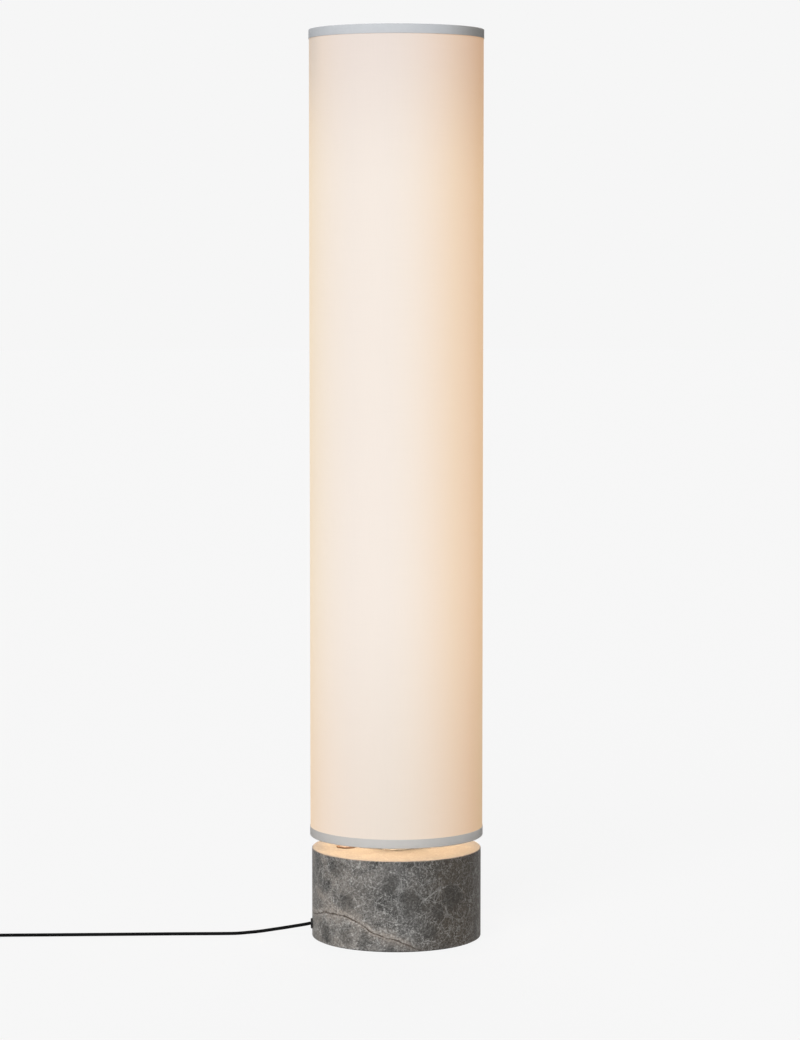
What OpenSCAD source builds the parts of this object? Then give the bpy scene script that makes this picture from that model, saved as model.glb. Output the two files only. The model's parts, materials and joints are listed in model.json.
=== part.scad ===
// Column floor lamp: a round stone base, a light column and a tall fabric shade that stands
// clear of the stone. The origin is the centre of the footprint on the floor. The push button
// and the cord outlet share one service line, which points along -X.

/* [Overall] */
// Height of the lamp
lamp_height = 1200; // [1000:10:1400]
// Outer diameter of the shade
shade_diameter = 230; // [215:5:280]
// Diameter of the stone base
base_diameter = 225; // [215:5:280]
// Height of the stone base above the floor
base_height = 120; // [105:5:150]
// Open gap between the stone and the shade
light_gap = 17; // [12:1:24]

/* [Stone base] */
// Radius of the eased edges of the stone
stone_edge = 1.5; // [0.5:0.5:3]
// Wall of the stone round the pocket
stone_wall = 32.5; // [32:0.5:40]
// Height of the pocket above the cover plate
pocket_height = 47; // [42:1:54]
// Depth of the recess that holds the cover plate
cover_recess = 5; // [4.5:0.5:8]
// Width of the land that the cover plate seats on
cover_land = 17; // [15:0.5:18]
// Thickness of the felt ring
felt_thickness = 2.5; // [2:0.5:4]
// How far the felt stands out of the stone
felt_proud = 1; // [0.6:0.2:1.6]
// Width of the felt ring
felt_width = 9; // [6:0.5:9]
// Distance from the stone's side to the felt ring
felt_inset = 2.5; // [2:0.5:3]

/* [Cover plate] */
// Thickness of the cover plate
cover_thickness = 2; // [1.5:0.5:2.5]
// Number of cover screws
cover_screw_count = 4; // [3:1:6]
// Diameter of the cover screws
cover_screw_diameter = 4; // [3:0.5:4]
// Outer diameter of the brass inserts
insert_diameter = 7; // [6:0.5:8]
// Length of the brass inserts
insert_length = 10; // [8:1:14]

/* [Push button] */
// Distance from the stone's side to the button's centre
button_inset = 45.5; // [44:0.5:50]
// Diameter of the bezel's flange
bezel_diameter = 26; // [25:0.5:30]
// Height of the bezel above the stone
bezel_height = 1.5; // [1.2:0.1:2.5]
// Diameter of the bezel's threaded barrel
barrel_diameter = 22; // [21:0.5:23]
// Length of the barrel below the stone's top
barrel_length = 22; // [21:1:26]
// Stone left above the nut of the button
button_seat = 16; // [12:1:17]
// Diameter of the button cap
cap_diameter = 18; // [16:0.5:18.5]
// Height of the cap above the bezel
cap_proud = 0.8; // [0.6:0.1:1.5]
// Travel of the button
button_travel = 1.2; // [0.8:0.1:1.6]
// Diameter of the cap's stem
stem_diameter = 6.4; // [5:0.2:7]
// Wire diameter of the return spring
spring_wire = 0.7; // [0.5:0.1:0.8]

/* [Cord] */
// Diameter of the cord
cord_diameter = 4.5; // [4:0.1:5]
// Height of the cord outlet above the floor
cord_exit_height = 17.8; // [16:0.2:24]
// Diameter of the bush's flange
bush_diameter = 14; // [12:0.5:15]
// How far the bush stands out of the stone
bush_proud = 2; // [1.5:0.5:4]
// Radius of the innermost turn of the coil
coil_inner_radius = 19.5; // [19:0.5:24]
// Gap between two turns of the coil
coil_gap = 0.5; // [0.5:0.1:1]
// Thickness of the tie round the coil
tie_thickness = 0.8; // [0.6:0.2:1.4]

/* [Light column] */
// Height of the column foot
foot_height = 38; // [34:1:44]
// Diameter of the foot's lower disc
foot_lower_diameter = 56; // [44:2:70]
// Diameter of the foot's upper disc
foot_upper_diameter = 74; // [72:1:84]
// Diameter of the foot's neck
foot_neck_diameter = 28; // [22:1:29]
// Outer diameter of the threaded pipe
pipe_diameter = 10; // [9:0.5:11]
// Bore of the pipe
pipe_bore = 7.4; // [5:0.2:7.6]
// Side of the square light carrier
carrier_side = 39; // [39:0.5:40]
// Width of an LED board
board_width = 22; // [18:0.5:22.5]
// Thickness of an LED board
board_thickness = 1.4; // [1:0.1:1.5]
// Number of LEDs on a board
leds_per_board = 16; // [8:1:24]
// Outer diameter of the diffuser tube
diffuser_diameter = 60; // [60:1:64]
// Wall of the diffuser tube
diffuser_wall = 2; // [1.5:0.1:2]
// Depth from the shade's top to the top spider's seat
fitter_depth = 27; // [24:1:40]
// Thickness of the column's top cap
top_cap_thickness = 6; // [5:0.5:10]

/* [Shade] */
// Thickness of the fabric
fabric_thickness = 0.5; // [0.3:0.1:0.8]
// Thickness of the plastic liner
liner_thickness = 0.8; // [0.6:0.1:1.2]
// Thickness of the rim tapes
tape_thickness = 0.5; // [0.3:0.1:0.8]
// Width of the rim tapes
tape_width = 12; // [9:0.5:16]
// Width of the fabric's overlapped seam
seam_width = 12; // [8:1:20]
// Wire diameter of the shade's two hoops
wire_diameter = 4; // [3.8:0.1:4.5]
// Wire diameter of the arms
arm_diameter = 3.5; // [2.5:0.25:3.5]
// Number of arms on each spider
arm_count = 3; // [3:1:4]

/* [Hidden] */
$fn = 72;

// Clearances
glue_gap = 0.05;        // between pieces that are glued or screwed together
slip_gap = 0.2;         // between pieces that are slid together
stem_clearance = 0.06;  // radial running fit of the button's stem
through = 1;            // how far a cut runs past the face that it opens

// Heights of the base, from the floor up
stone_bottom = felt_proud;
cover_top = stone_bottom + cover_recess;
cover_bottom = cover_top - cover_thickness;
pocket_top = cover_top + pocket_height;
button_seat_z = base_height - button_seat;

// Plan of the base
base_r = base_diameter / 2;
pocket_r = base_r - stone_wall;
recess_r = pocket_r + cover_land;
felt_outer_r = base_r - felt_inset;
felt_inner_r = felt_outer_r - felt_width;
insert_r = pocket_r + cover_land / 2;
button_x = -(base_r - button_inset);

// Push button
barrel_r = barrel_diameter / 2;
cap_r = cap_diameter / 2;
cap_clearance = 0.3;
cap_head = 3.2;         // height of the cap's head in the bezel, below its top rim
guide_thickness = 4;    // web of the bezel that guides the stem
spring_gap = 3.8;       // between the guide and the cap's head
bezel_top = base_height + bezel_height;
head_bottom = bezel_top - cap_head;
guide_top = head_bottom - spring_gap;
guide_bottom = guide_top - guide_thickness;
barrel_bottom = base_height - barrel_length;
barrel_bore_r = barrel_r - 1.8;
stem_r = stem_diameter / 2;
clip_thickness = 1.2;
clip_top = guide_bottom - slip_gap;
stem_bottom = clip_top - clip_thickness - 2.5;
body_top = stem_bottom - button_travel - 0.5;
body_bottom = barrel_bottom - 22;
button_nut_across = barrel_diameter + 6;
button_nut_height = 4;
button_bore_r = button_nut_across / sqrt(3) + 2.8;
spring_turns = 2.5;
spring_r = stem_r + 1.8;

// Cord outlet
cord_r = cord_diameter / 2;
bush_seat_x = -(base_r - 0.5);
bush_face_x = -(base_r + bush_proud);
bush_barrel_r = 4.9;
bush_inner_x = button_x - button_bore_r - 2;
bush_nut_across = 15;
bush_nut_height = 4;
bush_spot_r = bush_diameter / 2 + 0.5;

// Light column, from the stone up
foot_top = base_height + foot_height;
spigot_height = 3;
carrier_bottom = foot_top + spigot_height;
cap_top = lamp_height - fitter_depth;
cap_bottom = cap_top - top_cap_thickness;
carrier_top = cap_bottom - spigot_height;
disc_thickness = 6;
foot_lower_thickness = 8;
diffuser_r = diffuser_diameter / 2;
diffuser_bore_r = diffuser_r - diffuser_wall;
spigot_r = diffuser_bore_r - slip_gap * 2;
carrier_half = carrier_side / 2;
carrier_corner = 4;
carrier_port_r = 6.5;
carrier_tube_r = 8.5;
lip_thickness = 0.8;
lip_overhang = 1.2;
slot_depth = 1.6;
skin_thickness = 2.2;
slot_width = board_width + slip_gap * 2;
board_face = carrier_half - lip_thickness - slot_depth + glue_gap + board_thickness;
screw_port = carrier_half - 5;
port_circle_r = screw_port * sqrt(2);
port_r = 2;
screw_r = port_r - glue_gap;
screw_head_r = 3.5;
screw_head_height = 3;
pipe_r = pipe_diameter / 2;
pipe_nut_across = 17;
pipe_nut_height = 8;
washer_thickness = 2;
pipe_bottom = pocket_top - washer_thickness - pipe_nut_height - 5;
pipe_top = carrier_bottom + 7;
wire_window_z = pipe_top + 9;
board_bottom = wire_window_z + 6;
board_top = carrier_top - 4;
board_length = board_top - board_bottom;
led_size = 3;
led_height = 0.7;
stud_r = 4;

// Shade
shade_bottom = base_height + light_gap;
shade_r = shade_diameter / 2;
wire_r = wire_diameter / 2;
fabric_outer_r = shade_r - tape_thickness - glue_gap;
fabric_inner_r = fabric_outer_r - fabric_thickness;
liner_outer_r = fabric_inner_r - glue_gap;
liner_inner_r = liner_outer_r - liner_thickness;
hoop_r = liner_inner_r - glue_gap - wire_r;
arm_r = arm_diameter / 2;
hub_height = arm_diameter + 1.5;
top_hoop_z = lamp_height - tape_thickness - glue_gap - wire_r;
bottom_hoop_z = shade_bottom + tape_thickness + glue_gap + wire_r;
bottom_hub_inner_r = diffuser_r + 0.6;
bottom_hub_outer_r = foot_upper_diameter / 2 - 0.5;
stud_top = cap_top + hub_height + 10;

// Shapes that repeat

// A tube or washer standing on z = 0
module washer(outer_r, inner_r, height) {
  difference() {
    cylinder(r = outer_r, h = height);
    translate([0, 0, -through]) cylinder(r = inner_r, h = height + 2 * through);
  }
}

// Copies set evenly round the lamp's axis
module around(count, radius, start = 0) {
  for (i = [0 : count - 1])
    rotate([0, 0, start + i * 360 / count]) translate([radius, 0, 0]) children();
}

// A straight round rod from one point to another
module rod(from, to, radius) {
  way = to - from;
  translate(from)
    rotate([0, acos(way.z / norm(way)), atan2(way.y, way.x)])
      cylinder(r = radius, h = norm(way));
}

// A hexagon nut standing on z = 0
module hex_nut(across, bore_r, height) {
  difference() {
    cylinder(d = across / cos(30), h = height, $fn = 6);
    translate([0, 0, -through]) cylinder(r = bore_r, h = height + 2 * through);
  }
}

// A socket-head screw whose head stands on z = 0 and whose shank points down
module socket_screw(shank_r, shank_length, head_r, head_height) {
  difference() {
    union() {
      translate([0, 0, -shank_length]) cylinder(r = shank_r, h = shank_length + head_height / 2);
      cylinder(r = head_r, h = head_height);
    }
    translate([0, 0, head_height * 0.45]) cylinder(r = head_r * 0.5, h = head_height, $fn = 6);
  }
}

// A countersunk screw whose head's top is at z = 0
module countersunk_screw(shank_r, length, head_r) {
  difference() {
    union() {
      translate([0, 0, -length]) cylinder(r = shank_r, h = length - (head_r - shank_r));
      translate([0, 0, shank_r - head_r]) cylinder(r1 = shank_r, r2 = head_r, h = head_r - shank_r);
    }
    translate([0, 0, -1.2]) cylinder(r = 1.2, h = 2, $fn = 6);
  }
}

// A square with rounded corners, centred on the origin
module rounded_square(width, height, corner_r) {
  square([width - 2 * corner_r, height], center = true);
  square([width, height - 2 * corner_r], center = true);
  for (x = [-1, 1], y = [-1, 1])
    translate([x * (width / 2 - corner_r), y * (height / 2 - corner_r)]) circle(r = corner_r);
}

// Swept tubes

function unit(v) = v / norm(v);

// One point of the smooth curve through four points, between the second and the third
function curve_point(a, b, c, d, t) =
  0.5 * (2 * b + (c - a) * t + (2 * a - 5 * b + 4 * c - d) * t * t
         + (3 * b - a - 3 * c + d) * t * t * t);

// The route's own points with a few smooth ones between each pair
function smooth(route, steps) =
  let (last = len(route) - 1)
  concat([for (i = [0 : last - 1], s = [0 : steps - 1])
            curve_point(route[max(i - 1, 0)], route[i], route[i + 1],
                        route[min(i + 2, last)], s / steps)],
         [route[last]]);

// A smooth route between two ends, which it meets square on
function run(start, route, steps, end) = concat([start], smooth(route, steps), [end]);

// Direction of the path at a point
function heading(path, i) = unit(path[min(i + 1, len(path) - 1)] - path[max(i - 1, 0)]);

// The side direction at each point, carried along the path without twisting
function carried_sides(path, first) =
  [for (i = 0, side = unit(first - (first * heading(path, 0)) * heading(path, 0));
        i < len(path);
        i = i + 1,
        side = i < len(path)
               ? unit(side - (side * heading(path, i)) * heading(path, i)) : side)
     side];

// A tube along a path: one closed solid of triangles
module tube(path, radius, sides, first_side = [0, 0, 1]) {
  count = len(path);
  across = carried_sides(path, first_side);
  points = [for (i = [0 : count - 1])
              let (other = cross(heading(path, i), across[i]))
              for (k = [0 : sides - 1])
                path[i] + radius * (cos(360 * k / sides) * across[i]
                                    + sin(360 * k / sides) * other)];
  walls = [for (i = [0 : count - 2], k = [0 : sides - 1])
             let (a = i * sides + k, b = i * sides + (k + 1) % sides)
             each [[a, a + sides, b], [b, a + sides, b + sides]]];
  ends = [for (k = [1 : sides - 2])
            each [[0, k, k + 1],
                  [(count - 1) * sides, (count - 1) * sides + k + 1, (count - 1) * sides + k]]];
  polyhedron(points = points, faces = concat(walls, ends), convexity = 8);
}

// Stone base

// Profile of a drum of stone with eased outer edges, to be turned about the axis
module stone_profile() {
  translate([0, stone_bottom + stone_edge])
    square([base_r, base_height - stone_bottom - 2 * stone_edge]);
  translate([0, stone_bottom]) square([base_r - stone_edge, base_height - stone_bottom]);
  for (z = [stone_bottom + stone_edge, base_height - stone_edge])
    translate([base_r - stone_edge, z]) circle(r = stone_edge);
}

module stone_base() {
  color("dimgray") difference() {
    rotate_extrude() stone_profile();
    // pocket, recess of the cover plate, groove of the felt and bore of the pipe
    translate([0, 0, -through]) cylinder(r = pocket_r, h = pocket_top + through);
    translate([0, 0, -through]) cylinder(r = recess_r, h = cover_top + through);
    translate([0, 0, -through]) washer(felt_outer_r + 0.3, felt_inner_r - 0.3, felt_thickness + through);
    cylinder(r = pipe_r + 0.5, h = base_height + through);
    // holes of the brass inserts
    around(cover_screw_count, insert_r, 45)
      translate([0, 0, cover_top - through])
        cylinder(r = insert_diameter / 2 + glue_gap, h = insert_length + through + 0.5);
    // the button's counterbore and hole
    translate([button_x, 0, cover_top]) cylinder(r = button_bore_r, h = button_seat_z - cover_top);
    translate([button_x, 0, 0]) cylinder(r = barrel_r + glue_gap * 3, h = base_height + through);
    // the cord's hole, with a flat spot at either end
    translate([bush_face_x, 0, cord_exit_height]) rotate([0, 90, 0])
      cylinder(r = bush_barrel_r + glue_gap, h = button_x - bush_face_x);
    translate([bush_seat_x, 0, cord_exit_height]) rotate([0, -90, 0])
      cylinder(r = bush_spot_r, h = 4);
    translate([bush_inner_x, 0, cord_exit_height]) rotate([0, 90, 0])
      cylinder(r = bush_nut_across / 2 + 2, h = button_x - bush_inner_x);
  }
}

module felt_ring() {
  color("darkslategray") washer(felt_outer_r, felt_inner_r, felt_thickness);
}

// Cover plate and what it carries

driver_length = 80;
driver_width = 30;
driver_height = 21;
driver_y = -32;
ear_length = 10;
ear_thickness = 3;
ear_screw_x = driver_length / 2 + ear_length / 2;
clamp_x = button_x + 11;
clamp_half = 5;
clamp_height = cord_diameter + 3;
clamp_screw_y = 9;
terminal_x = -5;
terminal_y = 30;
small_screw_r = 1.5;

module cover_plate() {
  color("gainsboro") difference() {
    translate([0, 0, cover_bottom]) cylinder(r = recess_r - 0.5, h = cover_thickness);
    around(cover_screw_count, insert_r, 45)
      cylinder(r = cover_screw_diameter / 2 + slip_gap, h = cover_top + through);
    for (x = [-1, 1]) translate([x * ear_screw_x, driver_y, 0])
      cylinder(r = small_screw_r + glue_gap, h = cover_top + through);
    for (y = [-1, 1]) translate([clamp_x, y * clamp_screw_y, 0])
      cylinder(r = small_screw_r + glue_gap, h = cover_top + through);
  }
}

module cover_inserts() {
  color("goldenrod") around(cover_screw_count, insert_r, 45)
    translate([0, 0, cover_top])
      washer(insert_diameter / 2, cover_screw_diameter / 2, insert_length);
}

module cover_screws() {
  head_height = min(1.8, cover_bottom - 0.6);
  color("silver") around(cover_screw_count, insert_r, 45)
    translate([0, 0, cover_bottom]) mirror([0, 0, 1])
      socket_screw(cover_screw_diameter / 2 - glue_gap, cover_thickness + insert_length - 1,
                   cover_screw_diameter / 2 + 1.5, head_height);
}

// Moulded driver case with its two screw ears, solid inside
module led_driver() {
  color("white") translate([0, driver_y, cover_top]) difference() {
    union() {
      translate([-driver_length / 2, -driver_width / 2, 0])
        cube([driver_length, driver_width, driver_height - 2]);
      translate([-driver_length / 2 + 2, -driver_width / 2 + 2, 0])
        cube([driver_length - 4, driver_width - 4, driver_height]);
      translate([-ear_screw_x - ear_length / 2, -8, 0])
        cube([2 * ear_screw_x + ear_length, 16, ear_thickness]);
    }
    for (x = [-1, 1]) translate([x * ear_screw_x, 0, -through])
      cylinder(r = small_screw_r + slip_gap, h = ear_thickness + 2 * through);
  }
}

module driver_screws() {
  color("silver") for (x = [-1, 1])
    translate([x * ear_screw_x, driver_y, cover_top + ear_thickness])
      socket_screw(small_screw_r, ear_thickness + cover_thickness - 0.3, 2.8, 2);
}

// Saddle that grips the mains lead on the cover plate
module cord_clamp() {
  color("black") difference() {
    translate([clamp_x - clamp_half, -13, cover_top]) cube([2 * clamp_half, 26, clamp_height]);
    translate([clamp_x - clamp_half - through, 0, clamp_z]) rotate([0, 90, 0])
      cylinder(r = cord_r + glue_gap, h = 2 * (clamp_half + through));
    translate([clamp_x - clamp_half - through, -cord_r - glue_gap, cover_top - through])
      cube([2 * (clamp_half + through), cord_diameter + 2 * glue_gap, clamp_z - cover_top + through]);
    for (y = [-1, 1]) translate([clamp_x, y * clamp_screw_y, 0])
      cylinder(r = small_screw_r + slip_gap, h = cover_top + clamp_height + through);
  }
}

module clamp_screws() {
  color("silver") for (y = [-1, 1])
    translate([clamp_x, y * clamp_screw_y, cover_top + clamp_height])
      socket_screw(small_screw_r, clamp_height + cover_thickness - 0.3, 2.8, 2);
}

// Three-pole block: a stepped body with a screw well and a wire hole for each pole
module terminal_block() {
  color("ivory") translate([terminal_x, terminal_y, cover_top]) difference() {
    union() {
      translate([-17, -8, 0]) cube([34, 16, 9]);
      translate([-17, -5, 9]) cube([34, 10, 6]);
    }
    for (pole = [-1, 0, 1]) translate([pole * 11, 0, 0]) {
      translate([0, 0, 9]) cylinder(r = 2.4, h = 7);
      translate([0, -9, 4.5]) rotate([-90, 0, 0]) cylinder(r = 1.8, h = 6);
    }
  }
}

// Pipe that clamps the column foot to the stone

module lamp_pipe() {
  color("silver") translate([0, 0, pipe_bottom])
    washer(pipe_r, pipe_bore / 2, pipe_top - pipe_bottom);
}

module pipe_washer() {
  color("silver") translate([0, 0, pocket_top - washer_thickness])
    washer(17, pipe_r + slip_gap, washer_thickness);
}

module pipe_nut() {
  color("silver") translate([0, 0, pocket_top - washer_thickness - pipe_nut_height])
    hex_nut(pipe_nut_across, pipe_r + glue_gap, pipe_nut_height);
}

// Cord bush: flange, barrel and a flared mouth
module cord_bush() {
  flange = bush_seat_x - bush_face_x;
  length = bush_inner_x + bush_nut_height + 2 - bush_face_x;
  color("black") translate([bush_face_x, 0, cord_exit_height]) rotate([0, 90, 0]) difference() {
    union() {
      cylinder(r1 = bush_diameter / 2 - 0.6, r2 = bush_diameter / 2, h = 0.6);
      translate([0, 0, 0.6]) cylinder(r = bush_diameter / 2, h = flange - 0.6);
      cylinder(r = bush_barrel_r, h = length);
    }
    translate([0, 0, -through]) cylinder(r = cord_r + glue_gap, h = length + 2 * through);
  }
}

module bush_nut() {
  color("black") translate([bush_inner_x, 0, cord_exit_height]) rotate([0, 90, 0])
    hex_nut(bush_nut_across, bush_barrel_r + glue_gap, bush_nut_height);
}

// Push button

// Bezel: flange, threaded barrel and the web that guides the cap's stem
module switch_bezel() {
  color("saddlebrown") translate([button_x, 0, 0]) difference() {
    union() {
      translate([0, 0, barrel_bottom]) cylinder(r = barrel_r, h = bezel_top - barrel_bottom);
      translate([0, 0, base_height]) cylinder(r = bezel_diameter / 2, h = bezel_height - 0.5);
      translate([0, 0, bezel_top - 0.5])
        cylinder(r1 = bezel_diameter / 2, r2 = bezel_diameter / 2 - 0.5, h = 0.5);
    }
    translate([0, 0, guide_top]) cylinder(r = cap_r + cap_clearance, h = bezel_top - guide_top + through);
    cylinder(r = stem_r + stem_clearance, h = bezel_top);
    translate([0, 0, barrel_bottom - through])
      cylinder(r = barrel_bore_r, h = guide_bottom - barrel_bottom + through);
  }
}

// Cap with a softly crowned top and its guide stem
module switch_cap() {
  rim = 0.3;  // height of the crown over the cap's straight side
  color("bisque") translate([button_x, 0, 0]) {
    translate([0, 0, stem_bottom]) cylinder(r = stem_r, h = head_bottom - stem_bottom + 1);
    translate([0, 0, head_bottom]) cylinder(r = cap_r, h = cap_head + cap_proud - rim);
    translate([0, 0, bezel_top + cap_proud - rim]) cylinder(r1 = cap_r, r2 = cap_r - 1.2, h = rim);
  }
}

module switch_clip() {
  color("silver") translate([button_x, 0, clip_top - clip_thickness]) difference() {
    washer(stem_r + 1.6, stem_r, clip_thickness);
    translate([0, -1.5, -through]) cube([stem_r + 3, 3, clip_thickness + 2 * through]);
  }
}

// Round-wire return spring between the guide and the cap's head
module switch_spring() {
  steps = 12;
  rise = spring_gap - spring_wire - 2 * glue_gap;
  turn = [for (i = [0 : spring_turns * steps])
            let (angle = 360 * i / steps)
            [button_x + spring_r * cos(angle), spring_r * sin(angle),
             guide_top + spring_wire / 2 + glue_gap + rise * i / (spring_turns * steps)]];
  color("silver") tube(turn, spring_wire / 2, 6);
}

module switch_nut() {
  color("silver") translate([button_x, 0, button_seat_z - button_nut_height])
    hex_nut(button_nut_across, barrel_r + glue_gap, button_nut_height);
}

// Switch module that plugs into the barrel, solid inside
module switch_body() {
  color("dimgray") translate([button_x, 0, 0]) {
    translate([0, 0, barrel_bottom - 3]) cylinder(r = barrel_bore_r - slip_gap, h = body_top - barrel_bottom + 3);
    translate([0, 0, body_bottom]) cylinder(r = barrel_r, h = barrel_bottom - body_bottom);
  }
}

module switch_blades() {
  color("goldenrod") for (y = [-1, 1])
    translate([button_x - 2.4, y * 5 - 0.4, body_bottom - blade_length])
      cube([4.8, 0.8, blade_length]);
}

// Wires inside the base and the column

bush_end_x = bush_inner_x + bush_nut_height + 2;
clamp_z = cover_top + cord_r + 0.3;
blade_length = 7;
lead_wire_r = 1.4;
mains_start = [bush_face_x, 0, cord_exit_height];
mains_end = [terminal_x - 17 - glue_gap, terminal_y, cover_top + 5];
clamp_end_x = clamp_x + clamp_half;
// A point between the clamp and the terminal block: its share of the way, and its own y and z
function mains_turn(share, y, z) = [clamp_end_x + share * (mains_end.x - clamp_end_x), y, z];
mains_route = [mains_start + [1, 0, 0], mains_start + [12, 0, 0], [bush_end_x + 0.5, 0, cord_exit_height],
               [bush_end_x + 3, 0, cord_exit_height - 0.2], [(bush_end_x + clamp_x - clamp_half) / 2, 0, 13.5],
               [clamp_x - clamp_half - 3, 0, clamp_z + 0.2], [clamp_x - clamp_half - 0.5, 0, clamp_z],
               [clamp_end_x + 0.5, 0, clamp_z], mains_turn(0.14, 0, clamp_z),
               mains_turn(0.31, 4, cover_top + 3.5), mains_turn(0.48, 14, cover_top + 4.5),
               mains_turn(0.66, 24, mains_end.z), mains_turn(0.83, mains_end.y - 1, mains_end.z),
               mains_end - [1, 0, 0]];
switch_start = [button_x, 5, body_bottom - blade_length - glue_gap];
switch_end = [terminal_x, terminal_y, cover_top + 15 + glue_gap];
switch_route = [switch_start - [0, 0, 1], [button_x, 5, body_bottom - blade_length - 5],
                [button_x + 1, 7, body_bottom - 16], [-58, 14, 46], [-44, 26, 38], [-24, 32, 31],
                [-8, 31, 27], switch_end + [0, 0, 1]];
led_start = [driver_length / 2 + glue_gap, driver_y, cover_top + 11];
led_end = [-22, 0, board_bottom + 8];
led_route = [led_start + [1, 0, 0], [48, -30, 17], [50, -20, 17], [38, -7, 17],
             [20, -2, 17], [6, 0, 20], [0, 0, pipe_bottom - 9], [0, 0, pipe_bottom + 22],
             [0, 0, (pipe_bottom + pipe_top) / 2 - 3], [0, 0, pipe_top - 28],
             [0, 0, pipe_top], [-3, 0, pipe_top + 6], [-10, 0, wire_window_z], [-19, 0, wire_window_z],
             [-22, 0, wire_window_z + 3], [-22, 0, board_bottom + 3], led_end - [0, 0, 1]];

module mains_lead() {
  color("black") tube(run(mains_start, mains_route, 2, mains_end), cord_r, 8);
}

module switch_lead() {
  color("black") tube(run(switch_start, switch_route, 2, switch_end), lead_wire_r, 8, [1, 0, 0]);
}

module led_lead() {
  color("black") tube(run(led_start, led_route, 2, led_end), lead_wire_r, 8);
}

// Light column

// Spool-shaped foot with coved neck, and the spigot that centres the diffuser tube
module column_foot() {
  neck_r = foot_neck_diameter / 2;
  cove = 2.5;
  neck_bottom = base_height + foot_lower_thickness;
  neck_top = foot_top - disc_thickness;
  color("gainsboro") difference() {
    union() {
      rotate_extrude() difference() {
        union() {
          translate([0, base_height]) square([foot_lower_diameter / 2, foot_lower_thickness]);
          translate([0, neck_bottom - 1]) square([neck_r, neck_top - neck_bottom + 2]);
          translate([0, neck_bottom - 1]) square([neck_r + cove, cove + 1]);
          translate([0, neck_top - cove]) square([neck_r + cove, cove + 1]);
          translate([0, neck_top]) square([foot_upper_diameter / 2, disc_thickness]);
        }
        translate([neck_r + cove, neck_bottom + cove]) circle(r = cove);
        translate([neck_r + cove, neck_top - cove]) circle(r = cove);
      }
      translate([0, 0, foot_top]) cylinder(r = spigot_r, h = spigot_height);
    }
    translate([0, 0, base_height - through])
      cylinder(r = pipe_r + glue_gap, h = carrier_bottom - base_height + 2 * through);
    around(4, port_circle_r, 45)
      translate([0, 0, neck_top - through])
        cylinder(r = screw_r + slip_gap, h = disc_thickness + spigot_height + 2 * through);
  }
}

// Section of the extrusion: skin, central wire port, four screw ports and four board slots
module carrier_section() {
  slot_floor = carrier_half - lip_thickness - slot_depth;
  chamber_in = carrier_tube_r + 1;
  chamber_out = slot_floor - skin_thickness;
  difference() {
    rounded_square(carrier_side, carrier_side, carrier_corner);
    circle(r = carrier_port_r);
    for (side = [0 : 3]) rotate(side * 90) {
      translate([screw_port, screw_port]) circle(r = port_r);
      polygon([[chamber_in, -5.5], [chamber_in, 5.5], [chamber_out, 9], [chamber_out, -9]]);
      translate([slot_floor, -slot_width / 2]) square([slot_depth, slot_width]);
      translate([slot_floor, lip_overhang - slot_width / 2])
        square([slot_depth + lip_thickness + 1, slot_width - 2 * lip_overhang]);
    }
  }
}

module light_carrier() {
  color("silver") difference() {
    translate([0, 0, carrier_bottom])
      linear_extrude(height = carrier_top - carrier_bottom) carrier_section();
    // window for the wires, below the first board
    translate([0, 0, wire_window_z]) rotate([0, -90, 0]) cylinder(r = 2.6, h = carrier_half + 2);
  }
}

module led_boards() {
  color("white") for (side = [0 : 3]) rotate([0, 0, side * 90])
    translate([board_face - board_thickness, -board_width / 2, board_bottom])
      cube([board_thickness, board_width, board_length]);
}

module led_chips() {
  pitch = board_length / leds_per_board;
  color("khaki") for (side = [0 : 3], i = [0 : leds_per_board - 1]) rotate([0, 0, side * 90])
    translate([board_face, -led_size / 2, board_bottom + pitch * (i + 0.5) - led_size / 2])
      cube([led_height, led_size, led_size]);
}

// Screws that hold the foot and the cap to the extrusion's screw ports
module carrier_screws() {
  color("silver") {
    around(4, port_circle_r, 45) translate([0, 0, foot_top - disc_thickness])
      mirror([0, 0, 1])
        socket_screw(screw_r, disc_thickness + spigot_height + 8, screw_head_r, screw_head_height);
    around(4, port_circle_r, 45) translate([0, 0, cap_top])
      countersunk_screw(screw_r, top_cap_thickness + spigot_height + 8, screw_head_r + 0.3);
  }
}

module diffuser_tube() {
  color("white", 0.6) translate([0, 0, foot_top])
    washer(diffuser_r, diffuser_bore_r, cap_bottom - foot_top);
}

module top_cap() {
  color("gainsboro") difference() {
    union() {
      translate([0, 0, carrier_top]) cylinder(r = spigot_r, h = spigot_height);
      translate([0, 0, cap_bottom]) cylinder(r = diffuser_r + 1, h = top_cap_thickness - 1);
      translate([0, 0, cap_top - 1]) cylinder(r1 = diffuser_r + 1, r2 = diffuser_r, h = 1);
    }
    translate([0, 0, carrier_top - through])
      cylinder(r = stud_r + glue_gap, h = cap_top - carrier_top + 2 * through);
    around(4, port_circle_r, 45) {
      translate([0, 0, carrier_top - through])
        cylinder(r = screw_r + slip_gap, h = cap_top - carrier_top + 2 * through);
      translate([0, 0, cap_top - screw_head_r - 0.5 + screw_r])
        cylinder(r1 = screw_r, r2 = screw_head_r + 0.5, h = screw_head_r + 0.5 - screw_r);
      translate([0, 0, cap_top]) cylinder(r = screw_head_r + 0.5, h = through);
    }
  }
}

module top_stud() {
  color("silver") translate([0, 0, carrier_top - 4]) cylinder(r = stud_r, h = stud_top - carrier_top + 4);
}

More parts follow.
